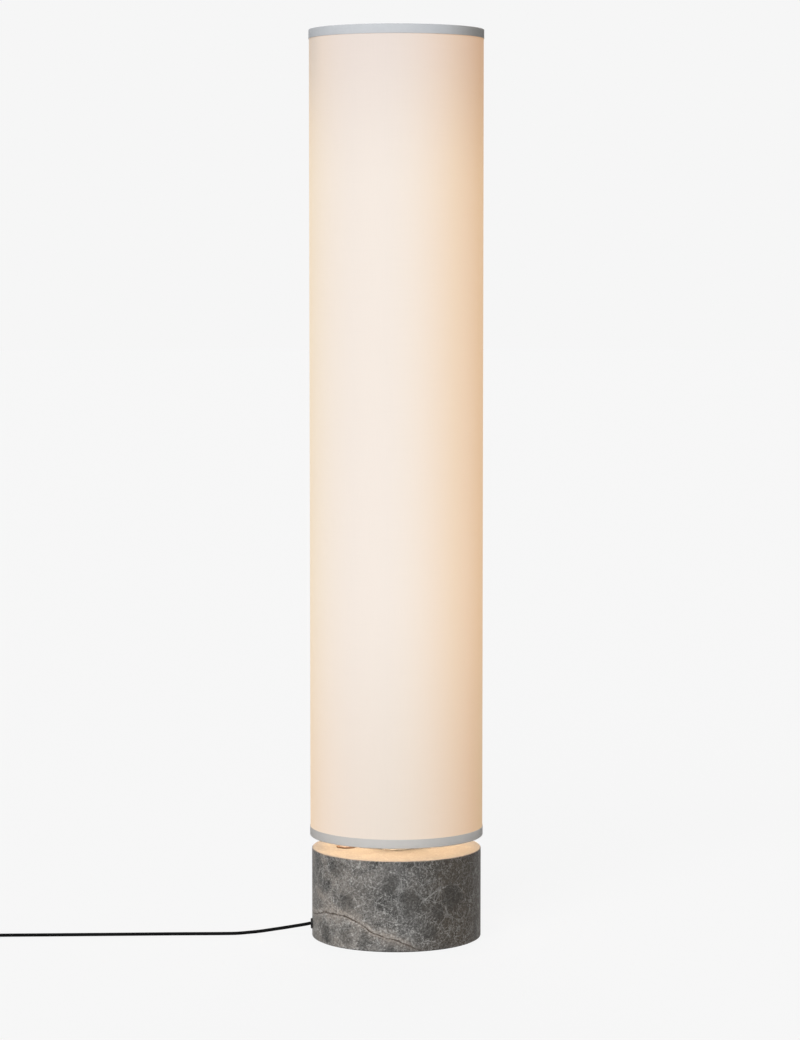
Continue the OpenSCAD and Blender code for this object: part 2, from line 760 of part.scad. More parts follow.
// Hand nut with a flange, a knurled band and a rounded head
module finial_nut() {
  seat = cap_top + hub_height;
  color("gainsboro") translate([0, 0, seat]) difference() {
    union() {
      cylinder(r = 9, h = 2);
      translate([0, 0, 2]) cylinder(r = 10, h = 8);
      translate([0, 0, 10]) cylinder(r1 = 10, r2 = 8.5, h = 2);
      translate([0, 0, 12]) cylinder(r1 = 8.5, r2 = 5, h = 2);
    }
    translate([0, 0, -through]) cylinder(r = stud_r + glue_gap, h = 11 + through);
    around(20, 10.4) translate([0, 0, 2.6]) cylinder(r = 0.9, h = 6.8);
  }
}

// Shade

module shade_liner() {
  color("white") translate([0, 0, shade_bottom + tape_thickness + glue_gap])
    washer(liner_outer_r, liner_inner_r, lamp_height - shade_bottom - 2 * (tape_thickness + glue_gap));
}

// Cloth skin with its overlapped seam, which ends at the rim tapes
module shade_fabric() {
  seam_angle = seam_width / fabric_outer_r * 180 / PI;
  seam_bottom = shade_bottom + tape_width + 0.5;
  seam_top = lamp_height - tape_width - 0.5;
  color("antiquewhite") {
    translate([0, 0, shade_bottom + tape_thickness + glue_gap])
      washer(fabric_outer_r, fabric_inner_r, lamp_height - shade_bottom - 2 * (tape_thickness + glue_gap));
    rotate([0, 0, 90 - seam_angle / 2]) rotate_extrude(angle = seam_angle)
      translate([fabric_outer_r - 0.1, seam_bottom])
        square([tape_thickness + 0.1, seam_top - seam_bottom]);
  }
}

// Binding folded over a rim: long leg outside, short leg round the wire ring inside
module rim_tape() {
  inner_r = hoop_r - wire_r - glue_gap - tape_thickness;
  inner_leg = wire_diameter + 3;
  rotate_extrude() difference() {
    translate([inner_r, -tape_width]) square([shade_r - inner_r, tape_width]);
    translate([inner_r + tape_thickness, -tape_width - 1])
      square([shade_r - inner_r - 2 * tape_thickness, tape_width + 1 - tape_thickness]);
    translate([inner_r - 1, -tape_width - 1]) square([3, tape_width + 1 - inner_leg]);
  }
}

module top_tape() {
  color("slategray") difference() {
    translate([0, 0, lamp_height]) rim_tape();
    around(arm_count, 0, 180 / arm_count)
      rod(arm_bend_top, arm_end_top, arm_r + slip_gap);
  }
}

module bottom_tape() {
  color("slategray") difference() {
    translate([0, 0, shade_bottom]) mirror([0, 0, 1]) rim_tape();
    around(arm_count, 0, 180 / arm_count)
      rod(arm_bend_bottom, arm_end_bottom, arm_r + slip_gap);
  }
}

// Ends and bends of the arms, which are welded to the hub and to the wire hoop
arm_bend_top = [30, 0, cap_top + hub_height / 2];
arm_end_top = [hoop_r, 0, top_hoop_z];
arm_bend_bottom = [bottom_hub_outer_r + 8, 0, foot_top + hub_height / 2];
arm_end_bottom = [hoop_r, 0, bottom_hoop_z];

// One wire arm: level out of the hub, pinched where it is bent, then straight to the hoop
module bent_arm(start_x, bend, end) {
  rod([start_x, 0, bend.z], bend, arm_r);
  translate(bend) sphere(r = arm_r + 0.25);
  rod(bend, end, arm_r);
}

// Wire hoop, bent arms and a hub with a hole, welded into one piece
module spider(hub_r, hole_r, hub_z, bend, end) {
  difference() {
    union() {
      translate([0, 0, hub_z]) cylinder(r = hub_r, h = hub_height);
      around(arm_count, 0, 180 / arm_count) bent_arm((hub_r + hole_r) / 2, bend, end);
      translate([0, 0, end.z]) rotate_extrude() translate([end.x, 0]) circle(r = wire_r);
    }
    translate([0, 0, hub_z - through]) cylinder(r = hole_r, h = hub_height + 2 * through);
  }
}

module top_spider() {
  color("silver") spider(14, stud_r + slip_gap, cap_top, arm_bend_top, arm_end_top);
}

module bottom_spider() {
  color("silver")
    spider(bottom_hub_outer_r, bottom_hub_inner_r, foot_top, arm_bend_bottom, arm_end_bottom);
}

// Cord on the floor, its coil and its plug

coil_layers = 4;
coil_turns_per_layer = 2.8125;
coil_pitch = cord_diameter + coil_gap;
coil_turns = coil_layers * coil_turns_per_layer;
coil_centre = [-605, -5.5];
coil_floor = tie_thickness + 0.1 + cord_r;
coil_outer_radius = coil_inner_radius + coil_turns_per_layer * coil_pitch;
coil_start_angle = 90;
rings_per_turn = 24;

// Layer that a turn belongs to, counted from the floor up
function layer_of(turn) = min(floor(turn / coil_turns_per_layer), coil_layers - 1);

// Radius: inward on even layers, outward on odd ones
function coil_radius(turn) =
  let (share = turn / coil_turns_per_layer - layer_of(turn))
  layer_of(turn) % 2 == 0
    ? coil_outer_radius - share * (coil_outer_radius - coil_inner_radius)
    : coil_inner_radius + share * (coil_outer_radius - coil_inner_radius);

// Height: level along a layer, rising by one pitch in the half turn round each reversal
function climb(turn, reversal) =
  let (t = min(max((turn - reversal) / 0.5 + 0.5, 0), 1)) t * t * (3 - 2 * t);
function coil_height(turn, layer = 1) =
  layer >= coil_layers ? coil_floor
    : coil_height(turn, layer + 1) + coil_pitch * climb(turn, layer * coil_turns_per_layer);

function coil_point(turn) =
  let (angle = coil_start_angle + 360 * turn, r = coil_radius(turn))
  [coil_centre.x + r * cos(angle), coil_centre.y + r * sin(angle), coil_height(turn)];

coil_winding = [for (i = [0 : coil_turns * rings_per_turn]) coil_point(i / rings_per_turn)];
coil_last = coil_winding[len(coil_winding) - 1];
coil_in = unit(coil_winding[1] - coil_winding[0]);
coil_out = unit(coil_last - coil_winding[len(coil_winding) - 2]);
coil_entry = coil_winding[0] - cord_diameter * coil_in;
coil_exit = coil_last + cord_diameter * coil_out;
coil_path = concat([coil_entry], coil_winding, [coil_exit]);

// Least gap between two turns, measured on the winding's own points
coil_least_gap = min([for (i = [0 : len(coil_path) - 1], j = [i + rings_per_turn / 2 : len(coil_path) - 1])
                        norm(coil_path[i] - coil_path[j])]) - cord_diameter;

function path_length(path, i = 1) =
  i >= len(path) ? 0 : norm(path[i] - path[i - 1]) + path_length(path, i + 1);

lead_start = [bush_face_x, 0, cord_exit_height];
lead_route = [lead_start - [1, 0, 0], [-119, 0.3, 17], [-126, 1, 15.7], [-134, 2.5, 14.2],
              [-150, 5, 11.3], [-166, 7.5, 8.6], [-182, 9.5, 6.1], [-198, 12, 4.2], [-214, 14, 2.8],
              [-236, 16, 2.4], [-262, 17.5, 2.35], [-300, 19.5, 2.35], [-342, 21, 2.35],
              [-395, 23, 2.35], [-448, 25, 2.35], [-500, 27, 2.4], [-550, 28.2, 2.6],
              coil_entry - 8 * coil_in, coil_entry - coil_in];
plug_thickness = 13.7;
plug_neck = [-640, -92, plug_thickness / 2];
tail_route = [coil_exit + coil_out, coil_exit + 5 * coil_out, [-639.5, -28, 16.5], [-640, -42, 13.5],
              [-640, -56, 10], [-640, -70, 7.6], plug_neck + [0, 10, 0], plug_neck + [0, 1, 0]];

module cord_lead() {
  color("black") tube(run(lead_start, lead_route, 3, coil_entry), cord_r, 8);
}

module cord_coil() {
  echo(coil_least_gap_mm = coil_least_gap,
       cord_length_mm = path_length(lead_route) + path_length(coil_path) + path_length(tail_route));
  color("black") tube(coil_path, cord_r, 6);
}

module cord_tail() {
  color("black") tube(run(coil_exit, tail_route, 2, plug_neck), cord_r, 8);
}

// Strap round the bundle of turns, with its small head on top
module cord_tie() {
  inner_width = coil_outer_radius - coil_inner_radius + cord_diameter + 0.8;
  inner_height = coil_layers * coil_pitch + 0.3;
  middle = (coil_outer_radius + coil_inner_radius) / 2;
  color("black") translate([coil_centre.x, coil_centre.y, 0]) rotate([0, 0, -60])
    translate([middle, 2, tie_thickness + inner_height / 2]) rotate([90, 0, 0]) {
      linear_extrude(height = 4) difference() {
        rounded_square(inner_width + 2 * tie_thickness, inner_height + 2 * tie_thickness, 2.5);
        rounded_square(inner_width, inner_height, 1.7);
      }
      translate([inner_width / 4, inner_height / 2, -0.75]) cube([5, tie_thickness + 2.2, 5.5]);
    }
}

// Flat two-pin plug: plan outline cut by a side profile that thins towards the cord
module plug_body() {
  length = 36;
  color("black") translate(plug_neck) rotate([0, 0, -90]) {
    intersection() {
      translate([10, 0, -plug_thickness / 2]) linear_extrude(height = plug_thickness)
        polygon([[0, -6], [10, -13], [20, -17.6], [28, -17.6], [length, -13],
                 [length, 13], [28, 17.6], [20, 17.6], [10, 13], [0, 6]]);
      translate([0, 20, 0]) rotate([90, 0, 0]) linear_extrude(height = 40)
        polygon([[10, -4.5], [22, -plug_thickness / 2], [10 + length, -plug_thickness / 2],
                 [10 + length, plug_thickness / 2], [22, plug_thickness / 2], [10, 4.5]]);
    }
    // ribbed strain relief
    rotate([0, 90, 0]) difference() {
      cylinder(r1 = 3.4, r2 = 4.4, h = 11);
      for (x = [2.5, 5, 7.5]) translate([0, 0, x]) washer(6, 3.1, 1);
    }
  }
}

module plug_pins() {
  color("silver") translate(plug_neck) rotate([0, 0, -90]) for (side = [-1, 1])
    translate([46, side * 9.2, 0]) rotate([0, 90, 0]) {
      cylinder(r = 2, h = 18);
      translate([0, 0, 18]) cylinder(r1 = 2, r2 = 1.2, h = 1);
    }
}

stone_base();
felt_ring();
cover_plate();
cover_inserts();
cover_screws();
lamp_pipe();
pipe_washer();
pipe_nut();
cord_bush();
bush_nut();
cord_clamp();
clamp_screws();
terminal_block();
led_driver();
driver_screws();
switch_bezel();
switch_cap();
switch_clip();
switch_spring();
switch_nut();
switch_body();
switch_blades();
mains_lead();
switch_lead();
led_lead();
column_foot();
light_carrier();
led_boards();
led_chips();
carrier_screws();
diffuser_tube();
top_cap();
top_stud();
finial_nut();
shade_liner();
shade_fabric();
top_tape();
bottom_tape();
top_spider();
bottom_spider();
cord_lead();
cord_coil();
cord_tail();
cord_tie();
plug_body();
plug_pins();
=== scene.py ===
"""Column floor lamp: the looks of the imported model.

A round stone base carries a light column and a tall cloth shade that stands clear of the
stone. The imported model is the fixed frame. The classes below build the finer pieces that
stand for its visible solids, in metres, with +Z up and the cord leaving along -X.
"""

import json
import logging
import math
from collections.abc import Iterable, Sequence
from dataclasses import dataclass
from enum import Enum
from typing import Any

import bmesh
import bpy
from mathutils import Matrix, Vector


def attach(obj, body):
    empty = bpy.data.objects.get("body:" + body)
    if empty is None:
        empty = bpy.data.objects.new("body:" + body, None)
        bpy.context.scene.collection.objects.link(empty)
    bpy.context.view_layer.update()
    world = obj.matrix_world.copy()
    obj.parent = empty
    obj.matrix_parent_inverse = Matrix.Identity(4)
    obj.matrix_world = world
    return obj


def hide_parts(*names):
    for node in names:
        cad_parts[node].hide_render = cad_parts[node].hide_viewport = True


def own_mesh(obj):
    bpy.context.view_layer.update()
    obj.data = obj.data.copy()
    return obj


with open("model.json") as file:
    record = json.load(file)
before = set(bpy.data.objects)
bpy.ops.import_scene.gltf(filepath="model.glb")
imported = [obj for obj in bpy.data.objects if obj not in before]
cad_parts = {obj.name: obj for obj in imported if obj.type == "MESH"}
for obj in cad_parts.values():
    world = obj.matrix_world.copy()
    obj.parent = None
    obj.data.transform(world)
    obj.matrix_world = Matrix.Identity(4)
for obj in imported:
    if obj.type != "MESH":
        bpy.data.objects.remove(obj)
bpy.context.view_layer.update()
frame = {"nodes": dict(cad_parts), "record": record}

log = logging.getLogger("floor_lamp")

Colour = tuple[float, float, float]
Point = tuple[float, float, float]
Outline = list[tuple[float, float]]


class Body(Enum):
    """The bodies that a piece can ride on."""

    LAMP = "lamp"
    BUTTON = "button"


class Axis(Enum):
    """Directions that a turned piece can point along."""

    UP = "up"
    LEFT = "left"


# Node trees


class Signal:
    """A value socket; Python's operators on it add Math nodes."""

    def __init__(self, graph: "Graph", socket: bpy.types.NodeSocket) -> None:
        """Keeps the socket and the graph that it belongs to.

        Args:
            graph: The graph that new nodes are added to.
            socket: An output socket that holds one number.
        """
        self.graph = graph
        self.socket = socket

    def math(self, operation: str, *values: "Signal | float") -> "Signal":
        """Adds one Math node.

        Args:
            operation: The node's operation.
            values: Its inputs in order.

        Returns:
            The node's result.
        """
        node = self.graph.node("ShaderNodeMath", {"operation": operation}, dict(enumerate(values)))
        return Signal(self.graph, node.outputs[0])

    def __add__(self, other: "Signal | float") -> "Signal":
        """Adds a value."""
        return self.math("ADD", self, other)

    def __radd__(self, other: float) -> "Signal":
        """Adds to a value."""
        return self.math("ADD", other, self)

    def __sub__(self, other: "Signal | float") -> "Signal":
        """Subtracts a value."""
        return self.math("SUBTRACT", self, other)

    def __rsub__(self, other: float) -> "Signal":
        """Subtracts from a value."""
        return self.math("SUBTRACT", other, self)

    def __mul__(self, other: "Signal | float") -> "Signal":
        """Multiplies by a value."""
        return self.math("MULTIPLY", self, other)

    def __rmul__(self, other: float) -> "Signal":
        """Multiplies a value."""
        return self.math("MULTIPLY", other, self)

    def __truediv__(self, other: "Signal | float") -> "Signal":
        """Divides by a value."""
        return self.math("DIVIDE", self, other)

    def __pow__(self, other: "Signal | float") -> "Signal":
        """Raises to a power."""
        return self.math("POWER", self, other)

    def __abs__(self) -> "Signal":
        """Drops the sign."""
        return self.math("ABSOLUTE", self)

    def wave(self, length: float) -> "Signal":
        """Gives a sine of the value, from -1 to 1, that repeats after a length."""
        turn = self * (2 * math.pi / length)
        return turn.math("SINE", turn)

    def step(self, low: float, high: float) -> "Signal":
        """Rises smoothly from 0 to 1 between two values.

        Args:
            low: Where the rise starts; it may be the larger one, for a fall.
            high: Where the rise ends.

        Returns:
            The smooth step.
        """
        flip = low > high
        node = self.graph.node(
            "ShaderNodeMapRange",
            {"interpolation_type": "SMOOTHSTEP"},
            {"Value": self, "From Min": min(low, high), "From Max": max(low, high),
             "To Min": float(flip), "To Max": float(not flip)},
        )
        return Signal(self.graph, node.outputs[0])

    def larger(self, other: "Signal | float") -> "Signal":
        """Takes the larger of two values."""
        return self.math("MAXIMUM", self, other)


class Graph:
    """Adds nodes to one node tree, for a material or for a shape."""

    def __init__(self, tree: bpy.types.NodeTree) -> None:
        """Keeps the tree that the nodes go into."""
        self.tree = tree

    def node(self, kind: str, settings: dict[str, Any] | None = None,
             sockets: dict[str | int, Any] | None = None) -> bpy.types.Node:
        """Adds a node, makes its settings and then fills its sockets.

        Args:
            kind: The node's type.
            settings: Its properties by name; "stops" holds a ramp's (place, colour) pairs.
            sockets: Values, signals or output sockets, by the input's name or number.

        Returns:
            The node.
        """
        node = self.tree.nodes.new(kind)
        for name, value in (settings or {}).items():
            if name == "stops":
                self._set_stops(node.color_ramp, value)
            else:
                setattr(node, name, value)
        for name, value in (sockets or {}).items():
            if isinstance(value, Signal):
                value = value.socket
            if isinstance(value, bpy.types.NodeSocket):
                self.tree.links.new(value, node.inputs[name])
            else:
                node.inputs[name].default_value = value
        return node

    @staticmethod
    def _set_stops(ramp: bpy.types.ColorRamp, stops: Sequence[tuple[float, Colour]]) -> None:
        """Sets a ramp's stops.

        Args:
            ramp: The ramp.
            stops: At least two (place, colour) pairs.
        """
        while len(ramp.elements) < len(stops):
            ramp.elements.new(1.0)
        for element, (place, colour) in zip(ramp.elements, stops):
            element.position = place
            element.color = (*colour, 1.0)

    def place(self) -> bpy.types.NodeSocket:
        """Gives the point on the piece, in the lamp's own frame."""
        return self.node("ShaderNodeTexCoord").outputs["Object"]

    def along(self) -> bpy.types.NodeSocket:
        """Gives the piece's own map: metres round or along it, and metres across it."""
        return self.node("ShaderNodeUVMap", {"uv_map": "UVMap"}).outputs[0]

    def split(self, vector: bpy.types.NodeSocket) -> tuple[Signal, Signal, Signal]:
        """Gives the three numbers of a vector."""
        node = self.node("ShaderNodeSeparateXYZ", sockets={0: vector})
        return tuple(Signal(self, output) for output in node.outputs)

    def join(self, x: Any, y: Any, z: Any) -> bpy.types.NodeSocket:
        """Makes a vector of three numbers."""
        return self.node("ShaderNodeCombineXYZ", sockets={0: x, 1: y, 2: z}).outputs[0]

    def vector(self, operation: str, *values: Any) -> bpy.types.NodeSocket:
        """Adds a Vector Math node and gives its vector."""
        node = self.node("ShaderNodeVectorMath", {"operation": operation}, dict(enumerate(values)))
        return node.outputs[0]

    def stretched(self, vector: bpy.types.NodeSocket, scale: Point) -> bpy.types.NodeSocket:
        """Scales a vector by a factor on each axis."""
        return self.vector("MULTIPLY", vector, scale)

    def noise(self, vector: bpy.types.NodeSocket, scale: float, detail: float = 3.0,
              roughness: float = 0.5) -> Signal:
        """Gives soft noise from 0 to 1, with `scale` features to a metre."""
        node = self.node("ShaderNodeTexNoise", sockets={
            "Vector": vector, "Scale": scale, "Detail": detail, "Roughness": roughness})
        return Signal(self, node.outputs[0])

    def drifted(self, vector: bpy.types.NodeSocket, scale: float, reach: float,
                detail: float = 3.0) -> bpy.types.NodeSocket:
        """Moves each point by soft noise.

        Args:
            vector: The points.
            scale: Features to a metre.
            reach: How far a point may move, in metres.
            detail: Octaves of finer noise.

        Returns:
            The moved points.
        """
        node = self.node("ShaderNodeTexNoise", sockets={
            "Vector": vector, "Scale": scale, "Detail": detail, "Roughness": 0.6})
        offset = self.vector("SUBTRACT", node.outputs[1], (0.5, 0.5, 0.5))
        return self.vector("ADD", vector, self.stretched(offset, (2 * reach,) * 3))

    def away(self, vector: bpy.types.NodeSocket, start: Point, end: Point | None = None) -> Signal:
        """Gives the distance from a point, or from the straight line between two points.

        Args:
            vector: The places that it is measured at.
            start: The point, or the line's first end.
            end: The line's other end.

        Returns:
            The distance in metres.
        """
        offset = self.vector("SUBTRACT", vector, start)
        if end:
            line = Vector(end) - Vector(start)
            share = self.node("ShaderNodeVectorMath", {"operation": "DOT_PRODUCT"},
                              {0: offset, 1: tuple(line / line.length_squared)})
            share = self.node("ShaderNodeClamp", sockets={"Value": share.outputs["Value"]})
            on_line = self.node("ShaderNodeVectorMath", {"operation": "SCALE"},
                                {0: tuple(line), "Scale": share.outputs[0]})
            offset = self.vector("SUBTRACT", offset, on_line.outputs[0])
        length = self.node("ShaderNodeVectorMath", {"operation": "LENGTH"}, {0: offset})
        return Signal(self, length.outputs["Value"])

    def cracks(self, vector: bpy.types.NodeSocket, scale: float) -> Signal:
        """Gives the distance to the nearest edge of a net of cells."""
        node = self.node("ShaderNodeTexVoronoi", {"feature": "DISTANCE_TO_EDGE"},
                         {"Vector": vector, "Scale": scale})
        return Signal(self, node.outputs["Distance"])

    def cells(self, vector: bpy.types.NodeSocket, scale: float) -> Signal:
        """Gives each cell of the same net one number from 0 to 1."""
        node = self.node("ShaderNodeTexVoronoi", {"feature": "F1"},
                         {"Vector": vector, "Scale": scale})
        return self.split(node.outputs["Color"])[0]

    def blend(self, first: Any, second: Any, share: "Signal | float") -> bpy.types.NodeSocket:
        """Mixes two colours.

        Args:
            first: The colour at share 0.
            second: The colour at share 1.
            share: How much of the second one.

        Returns:
            The mixed colour.
        """
        colours = [c if isinstance(c, bpy.types.NodeSocket) else (*c, 1.0)
                   for c in (first, second)]
        node = self.node("ShaderNodeMix", {"data_type": "RGBA"},
                         {0: share, 6: colours[0], 7: colours[1]})
        return node.outputs[2]

    def tinted(self, colour: Any, tint: Any, share: Signal) -> bpy.types.NodeSocket:
        """Multiplies a colour by a tint, where the share is above 0."""
        source, other = (c if isinstance(c, bpy.types.NodeSocket) else (*c, 1.0)
                         for c in (colour, tint))
        node = self.node("ShaderNodeMix", {"data_type": "RGBA", "blend_type": "MULTIPLY"},
                         {0: share, 6: source, 7: other})
        return node.outputs[2]

    def dimmed(self, colour: Any, share: Signal) -> bpy.types.NodeSocket:
        """Scales a colour by a number."""
        source = colour if isinstance(colour, bpy.types.NodeSocket) else (*colour, 1.0)
        grey = self.node("ShaderNodeCombineColor", sockets={0: share, 1: share, 2: share})
        node = self.node("ShaderNodeMix", {"data_type": "RGBA", "blend_type": "MULTIPLY"},
                         {0: 1.0, 6: source, 7: grey.outputs[0]})
        return node.outputs[2]

    def shifted(self, vector: bpy.types.NodeSocket, offset: Point) -> bpy.types.NodeSocket:
        """Moves every point by the same offset, so that two noises differ."""
        return self.vector("ADD", vector, offset)

    def bump(self, height: Signal, depth: float, strength: float = 1.0) -> bpy.types.NodeSocket:
        """Turns a height from 0 to 1 into a normal.

        Args:
            height: The relief.
            depth: What a height of 1 stands for, in metres.
            strength: How strongly it shows.

        Returns:
            The normal.
        """
        node = self.node("ShaderNodeBump",
                         sockets={"Strength": strength, "Distance": depth, "Height": height})
        return node.outputs[0]


# Finishes


@dataclass(frozen=True)
class Finish:
    """What a surface is made of, for one material slot of the record."""

    slot: str

    def sockets(self, graph: Graph) -> dict[str, Any]:
        """Gives the values and links of the surface shader's sockets."""
        raise NotImplementedError

    def material(self) -> bpy.types.Material:
        """Gives the finish's material, made at its first use."""
        name = f"{self.slot}_finish"
        found = bpy.data.materials.get(name)
        if found:
            return found
        made = bpy.data.materials.new(name)
        made.use_nodes = True
        made.node_tree.nodes.clear()
        graph = Graph(made.node_tree)
        shader = graph.node("ShaderNodeBsdfPrincipled", sockets=self.sockets(graph))
        graph.node("ShaderNodeOutputMaterial", sockets={"Surface": shader.outputs[0]})
        return made


@dataclass(frozen=True)
class VeinedStone(Finish):
    """Honed grey marble: dark patches, a ragged net of pale hairlines and one brown vein, with painted
    shade darker to the right, a painted warm shade there and its top face washed out to an even grey as
    painted light.
    """

    slot: str = "veined_stone"
    dark: Colour = (0.036, 0.034, 0.031)
    grey: Colour = (0.108, 0.107, 0.105)
    # Painted warm shade, laid over the stone's right side (+X), away from the key light
    painted_warm_shade: Colour = (0.079, 0.062, 0.045)
    warm: Colour = (0.232, 0.205, 0.179)
    pale: Colour = (0.46, 0.45, 0.43)
    brown: Colour = (0.050, 0.036, 0.028)
    # Painted light: the even grey that the top face is washed out to
    washed_out_grey: Colour = (0.122, 0.119, 0.117)
    # Smooth dark patches: centre and radius
    patches: tuple[tuple[Point, float], ...] = (
        ((0.068, -0.089, 0.068), 0.021), ((0.011, -0.112, 0.066), 0.017),
        ((0.047, -0.102, 0.052), 0.012), ((-0.073, -0.085, 0.062), 0.014),
        ((-0.084, -0.075, 0.104), 0.014), ((-0.016, -0.111, 0.090), 0.013),
        ((-0.098, -0.055, 0.013), 0.013), ((-0.073, -0.085, 0.016), 0.014),
        ((-0.052, -0.100, 0.013), 0.010), ((0.034, -0.107, 0.025), 0.014))
    # Clouds of pale dust: centre and radius
    clouds: tuple[tuple[Point, float], ...] = (
        ((-0.040, -0.105, 0.084), 0.018), ((0.036, -0.106, 0.081), 0.012),
        ((-0.020, -0.111, 0.040), 0.022), ((0.010, -0.112, 0.030), 0.010),
        ((0.094, -0.062, 0.060), 0.014), ((-0.104, -0.042, 0.050), 0.020))
    # Thick pale streaks: both ends, half width and share
    streaks: tuple[tuple[Point, Point, float, float], ...] = (
        ((0.024, -0.110, 0.065), (0.041, -0.105, 0.077), 0.0016, 0.60),
        ((0.041, -0.105, 0.077), (0.065, -0.092, 0.087), 0.0013, 0.60),
        ((0.018, -0.111, 0.077), (0.026, -0.109, 0.070), 0.0020, 0.50),
        ((-0.016, -0.111, 0.106), (-0.005, -0.112, 0.103), 0.0015, 0.60),
        ((-0.012, -0.112, 0.070), (0.024, -0.110, 0.045), 0.0008, 0.60),
        ((-0.092, -0.065, 0.063), (-0.072, -0.086, 0.087), 0.0007, 0.45),
        ((0.030, -0.108, 0.048), (0.026, -0.109, 0.018), 0.0009, 0.50))

    def sockets(self, graph: Graph) -> dict[str, Any]:
        """Gives the stone's colour with its painted light and shade, its gloss and its fine relief."""
        place = graph.place()
        x, _, z = graph.split(place)
        flow = graph.drifted(place, 24.0, 0.012)
        ragged = graph.drifted(flow, 150.0, 0.0022)
        cloud = graph.noise(ragged, 34.0, 6.0, 0.68)
        tint = graph.noise(graph.shifted(flow, (3.1, 1.7, 0.4)), 16.0, 4.0, 0.6)
        tone = cloud.step(0.30, 0.62) * 0.70 + graph.cells(ragged, 38.0) * 0.30
        colour = graph.blend(self.dark, self.grey, tone)
        # Painted warm shade: a brown tint towards the right side, away from the key light
        colour = graph.blend(colour, self.painted_warm_shade, x.step(-0.01, 0.09) * 0.90)
        lean = x.step(0.03, -0.11) * 0.60
        colour = graph.blend(colour, self.warm, (tint.step(0.55, 0.70) * 0.22).larger(
            lean * cloud.step(0.34, 0.60)))
        bent = graph.drifted(place, 60.0, 0.011, 4.0)
        shade = graph.noise(graph.shifted(bent, (0.7, 2.3, 1.1)), 34.0, 2.0).step(0.60, 0.70) * 0.7
        rims = graph.drifted(bent, 130.0, 0.007, 3.0)
        shade = self._zones(graph, rims, self.patches, shade)
        colour = graph.blend(colour, self.dark, shade * 0.52)
        halo, core = self._brown_vein(graph, place)
        colour = graph.blend(colour, self.warm, halo)
        crisp = graph.drifted(flow, 280.0, 0.0009)
        thick = graph.noise(graph.shifted(flow, (5.1, 0.3, 1.9)), 48.0, 3.0, 0.6)
        thick = thick.step(0.42, 0.62)
        thick = self._zones(graph, bent, self.clouds, thick)
        veins = self._hairlines(graph, place, crisp, thick) * (1.0 - shade * 0.60)
        colour = graph.blend(colour, self.pale, veins)
        colour = graph.blend(colour, self.brown, core)
        grain = graph.noise(place, 430.0, 1.0, 0.5)
        pits = graph.noise(graph.shifted(place, (0.2, 0.9, 0.5)), 300.0, 3.0, 0.7)
        pits = pits.step(0.46, 0.32)
        # Painted shade: brighter to the left and darker to the right, dimmed at the far left edge, and
        # darker towards the top of the side
        painted_shade = 1.19 - x.step(-0.075, 0.08) * 0.30 - z.step(0.010, 0.080) * 0.20
        painted_shade = painted_shade - x.step(-0.095, -0.112) * 0.16
        colour = graph.dimmed(colour, (0.26 + grain * 1.50) * (1.0 - pits * 0.30) * painted_shade)
        # Painted light: the top face's pattern is washed out to an even grey, as it looks under the
        # column's bright light
        top = z.step(0.1188, 0.1198)
        colour = graph.blend(colour, self.washed_out_grey, top * 0.80)
        return {
            "Base Color": colour,
            "Roughness": 0.52 + grain * 0.12 - veins * 0.10 + top * 0.20,
            "Specular IOR Level": 0.22,
            "Normal": graph.bump(grain + veins, 0.00005, 0.5),
        }

    @staticmethod
    def _zones(graph: Graph, place: bpy.types.NodeSocket, zones: tuple[tuple[Point, float], ...],
               share: Signal) -> Signal:
        """Raises a share to 1 inside zones with soft rims.

        Args:
            graph: The material's graph.
            place: The points on the stone, bent.
            zones: Centres and radii.
            share: The share outside the zones.

        Returns:
            The share everywhere.
        """
        for centre, radius in zones:
            share = share.larger(graph.away(place, centre).step(radius * 1.10, radius * 0.60))
        return share

    def _hairlines(self, graph: Graph, place: bpy.types.NodeSocket, flow: bpy.types.NodeSocket,
                   thick: Signal) -> Signal:
        """Gives the share of pale vein at each point.

        Args:
            graph: The material's graph.
            place: The points on the stone.
            flow: The same points, bent and a little roughened.
            thick: Where the dust lies thick.

        Returns:
            Dust, nets of three sizes, long cracks in four directions and the streaks.
        """
        veins = graph.noise(place, 380.0, 2.0, 0.6).step(0.50, 0.70) * (0.24 + thick * 0.34)
        nets = ((30.0, 0.014, 0.52, (0.0, 0.0, 0.0)), (56.0, 0.024, 0.48, (1.3, 0.4, 2.2)),
                (110.0, 0.044, 0.34, (2.7, 1.9, 0.3)))
        for scale, width, share, offset in nets:
            moved = graph.vector("ADD", flow, offset)
            fade = graph.noise(moved, scale * 1.6, 2.0, 0.6).step(0.42, 0.60)
            veins = veins.larger(graph.cracks(moved, scale).step(width, width * 0.2) * fade * share)
        bent = graph.drifted(place, 36.0, 0.003)
        for turn, fineness in ((0.62, 1.0), (-0.75, 1.3), (1.9, 1.1), (2.6, 1.7)):
            node = graph.node("ShaderNodeVectorRotate", {"rotation_type": "AXIS_ANGLE"}, {
                "Vector": bent, "Axis": (0.25, -0.95, 0.15), "Angle": turn})
            long = graph.stretched(node.outputs[0], (14.0 * fineness, 30.0, 90.0 * fineness))
            crack = abs(graph.noise(long, 1.0, 0.0) - 0.5).step(0.017, 0.002)
            fade = graph.noise(node.outputs[0], 60.0 * fineness, 2.0).step(0.48, 0.60)
            veins = veins.larger(crack * fade * 0.42)
        rough = graph.drifted(place, 260.0, 0.0014)
        broken = graph.noise(place, 320.0, 2.0).step(0.34, 0.56)
        for start, end, width, share in self.streaks:
            streak = graph.away(rough, start, end).step(width, width * 0.3)
            veins = veins.larger(streak * broken * share)
        return veins

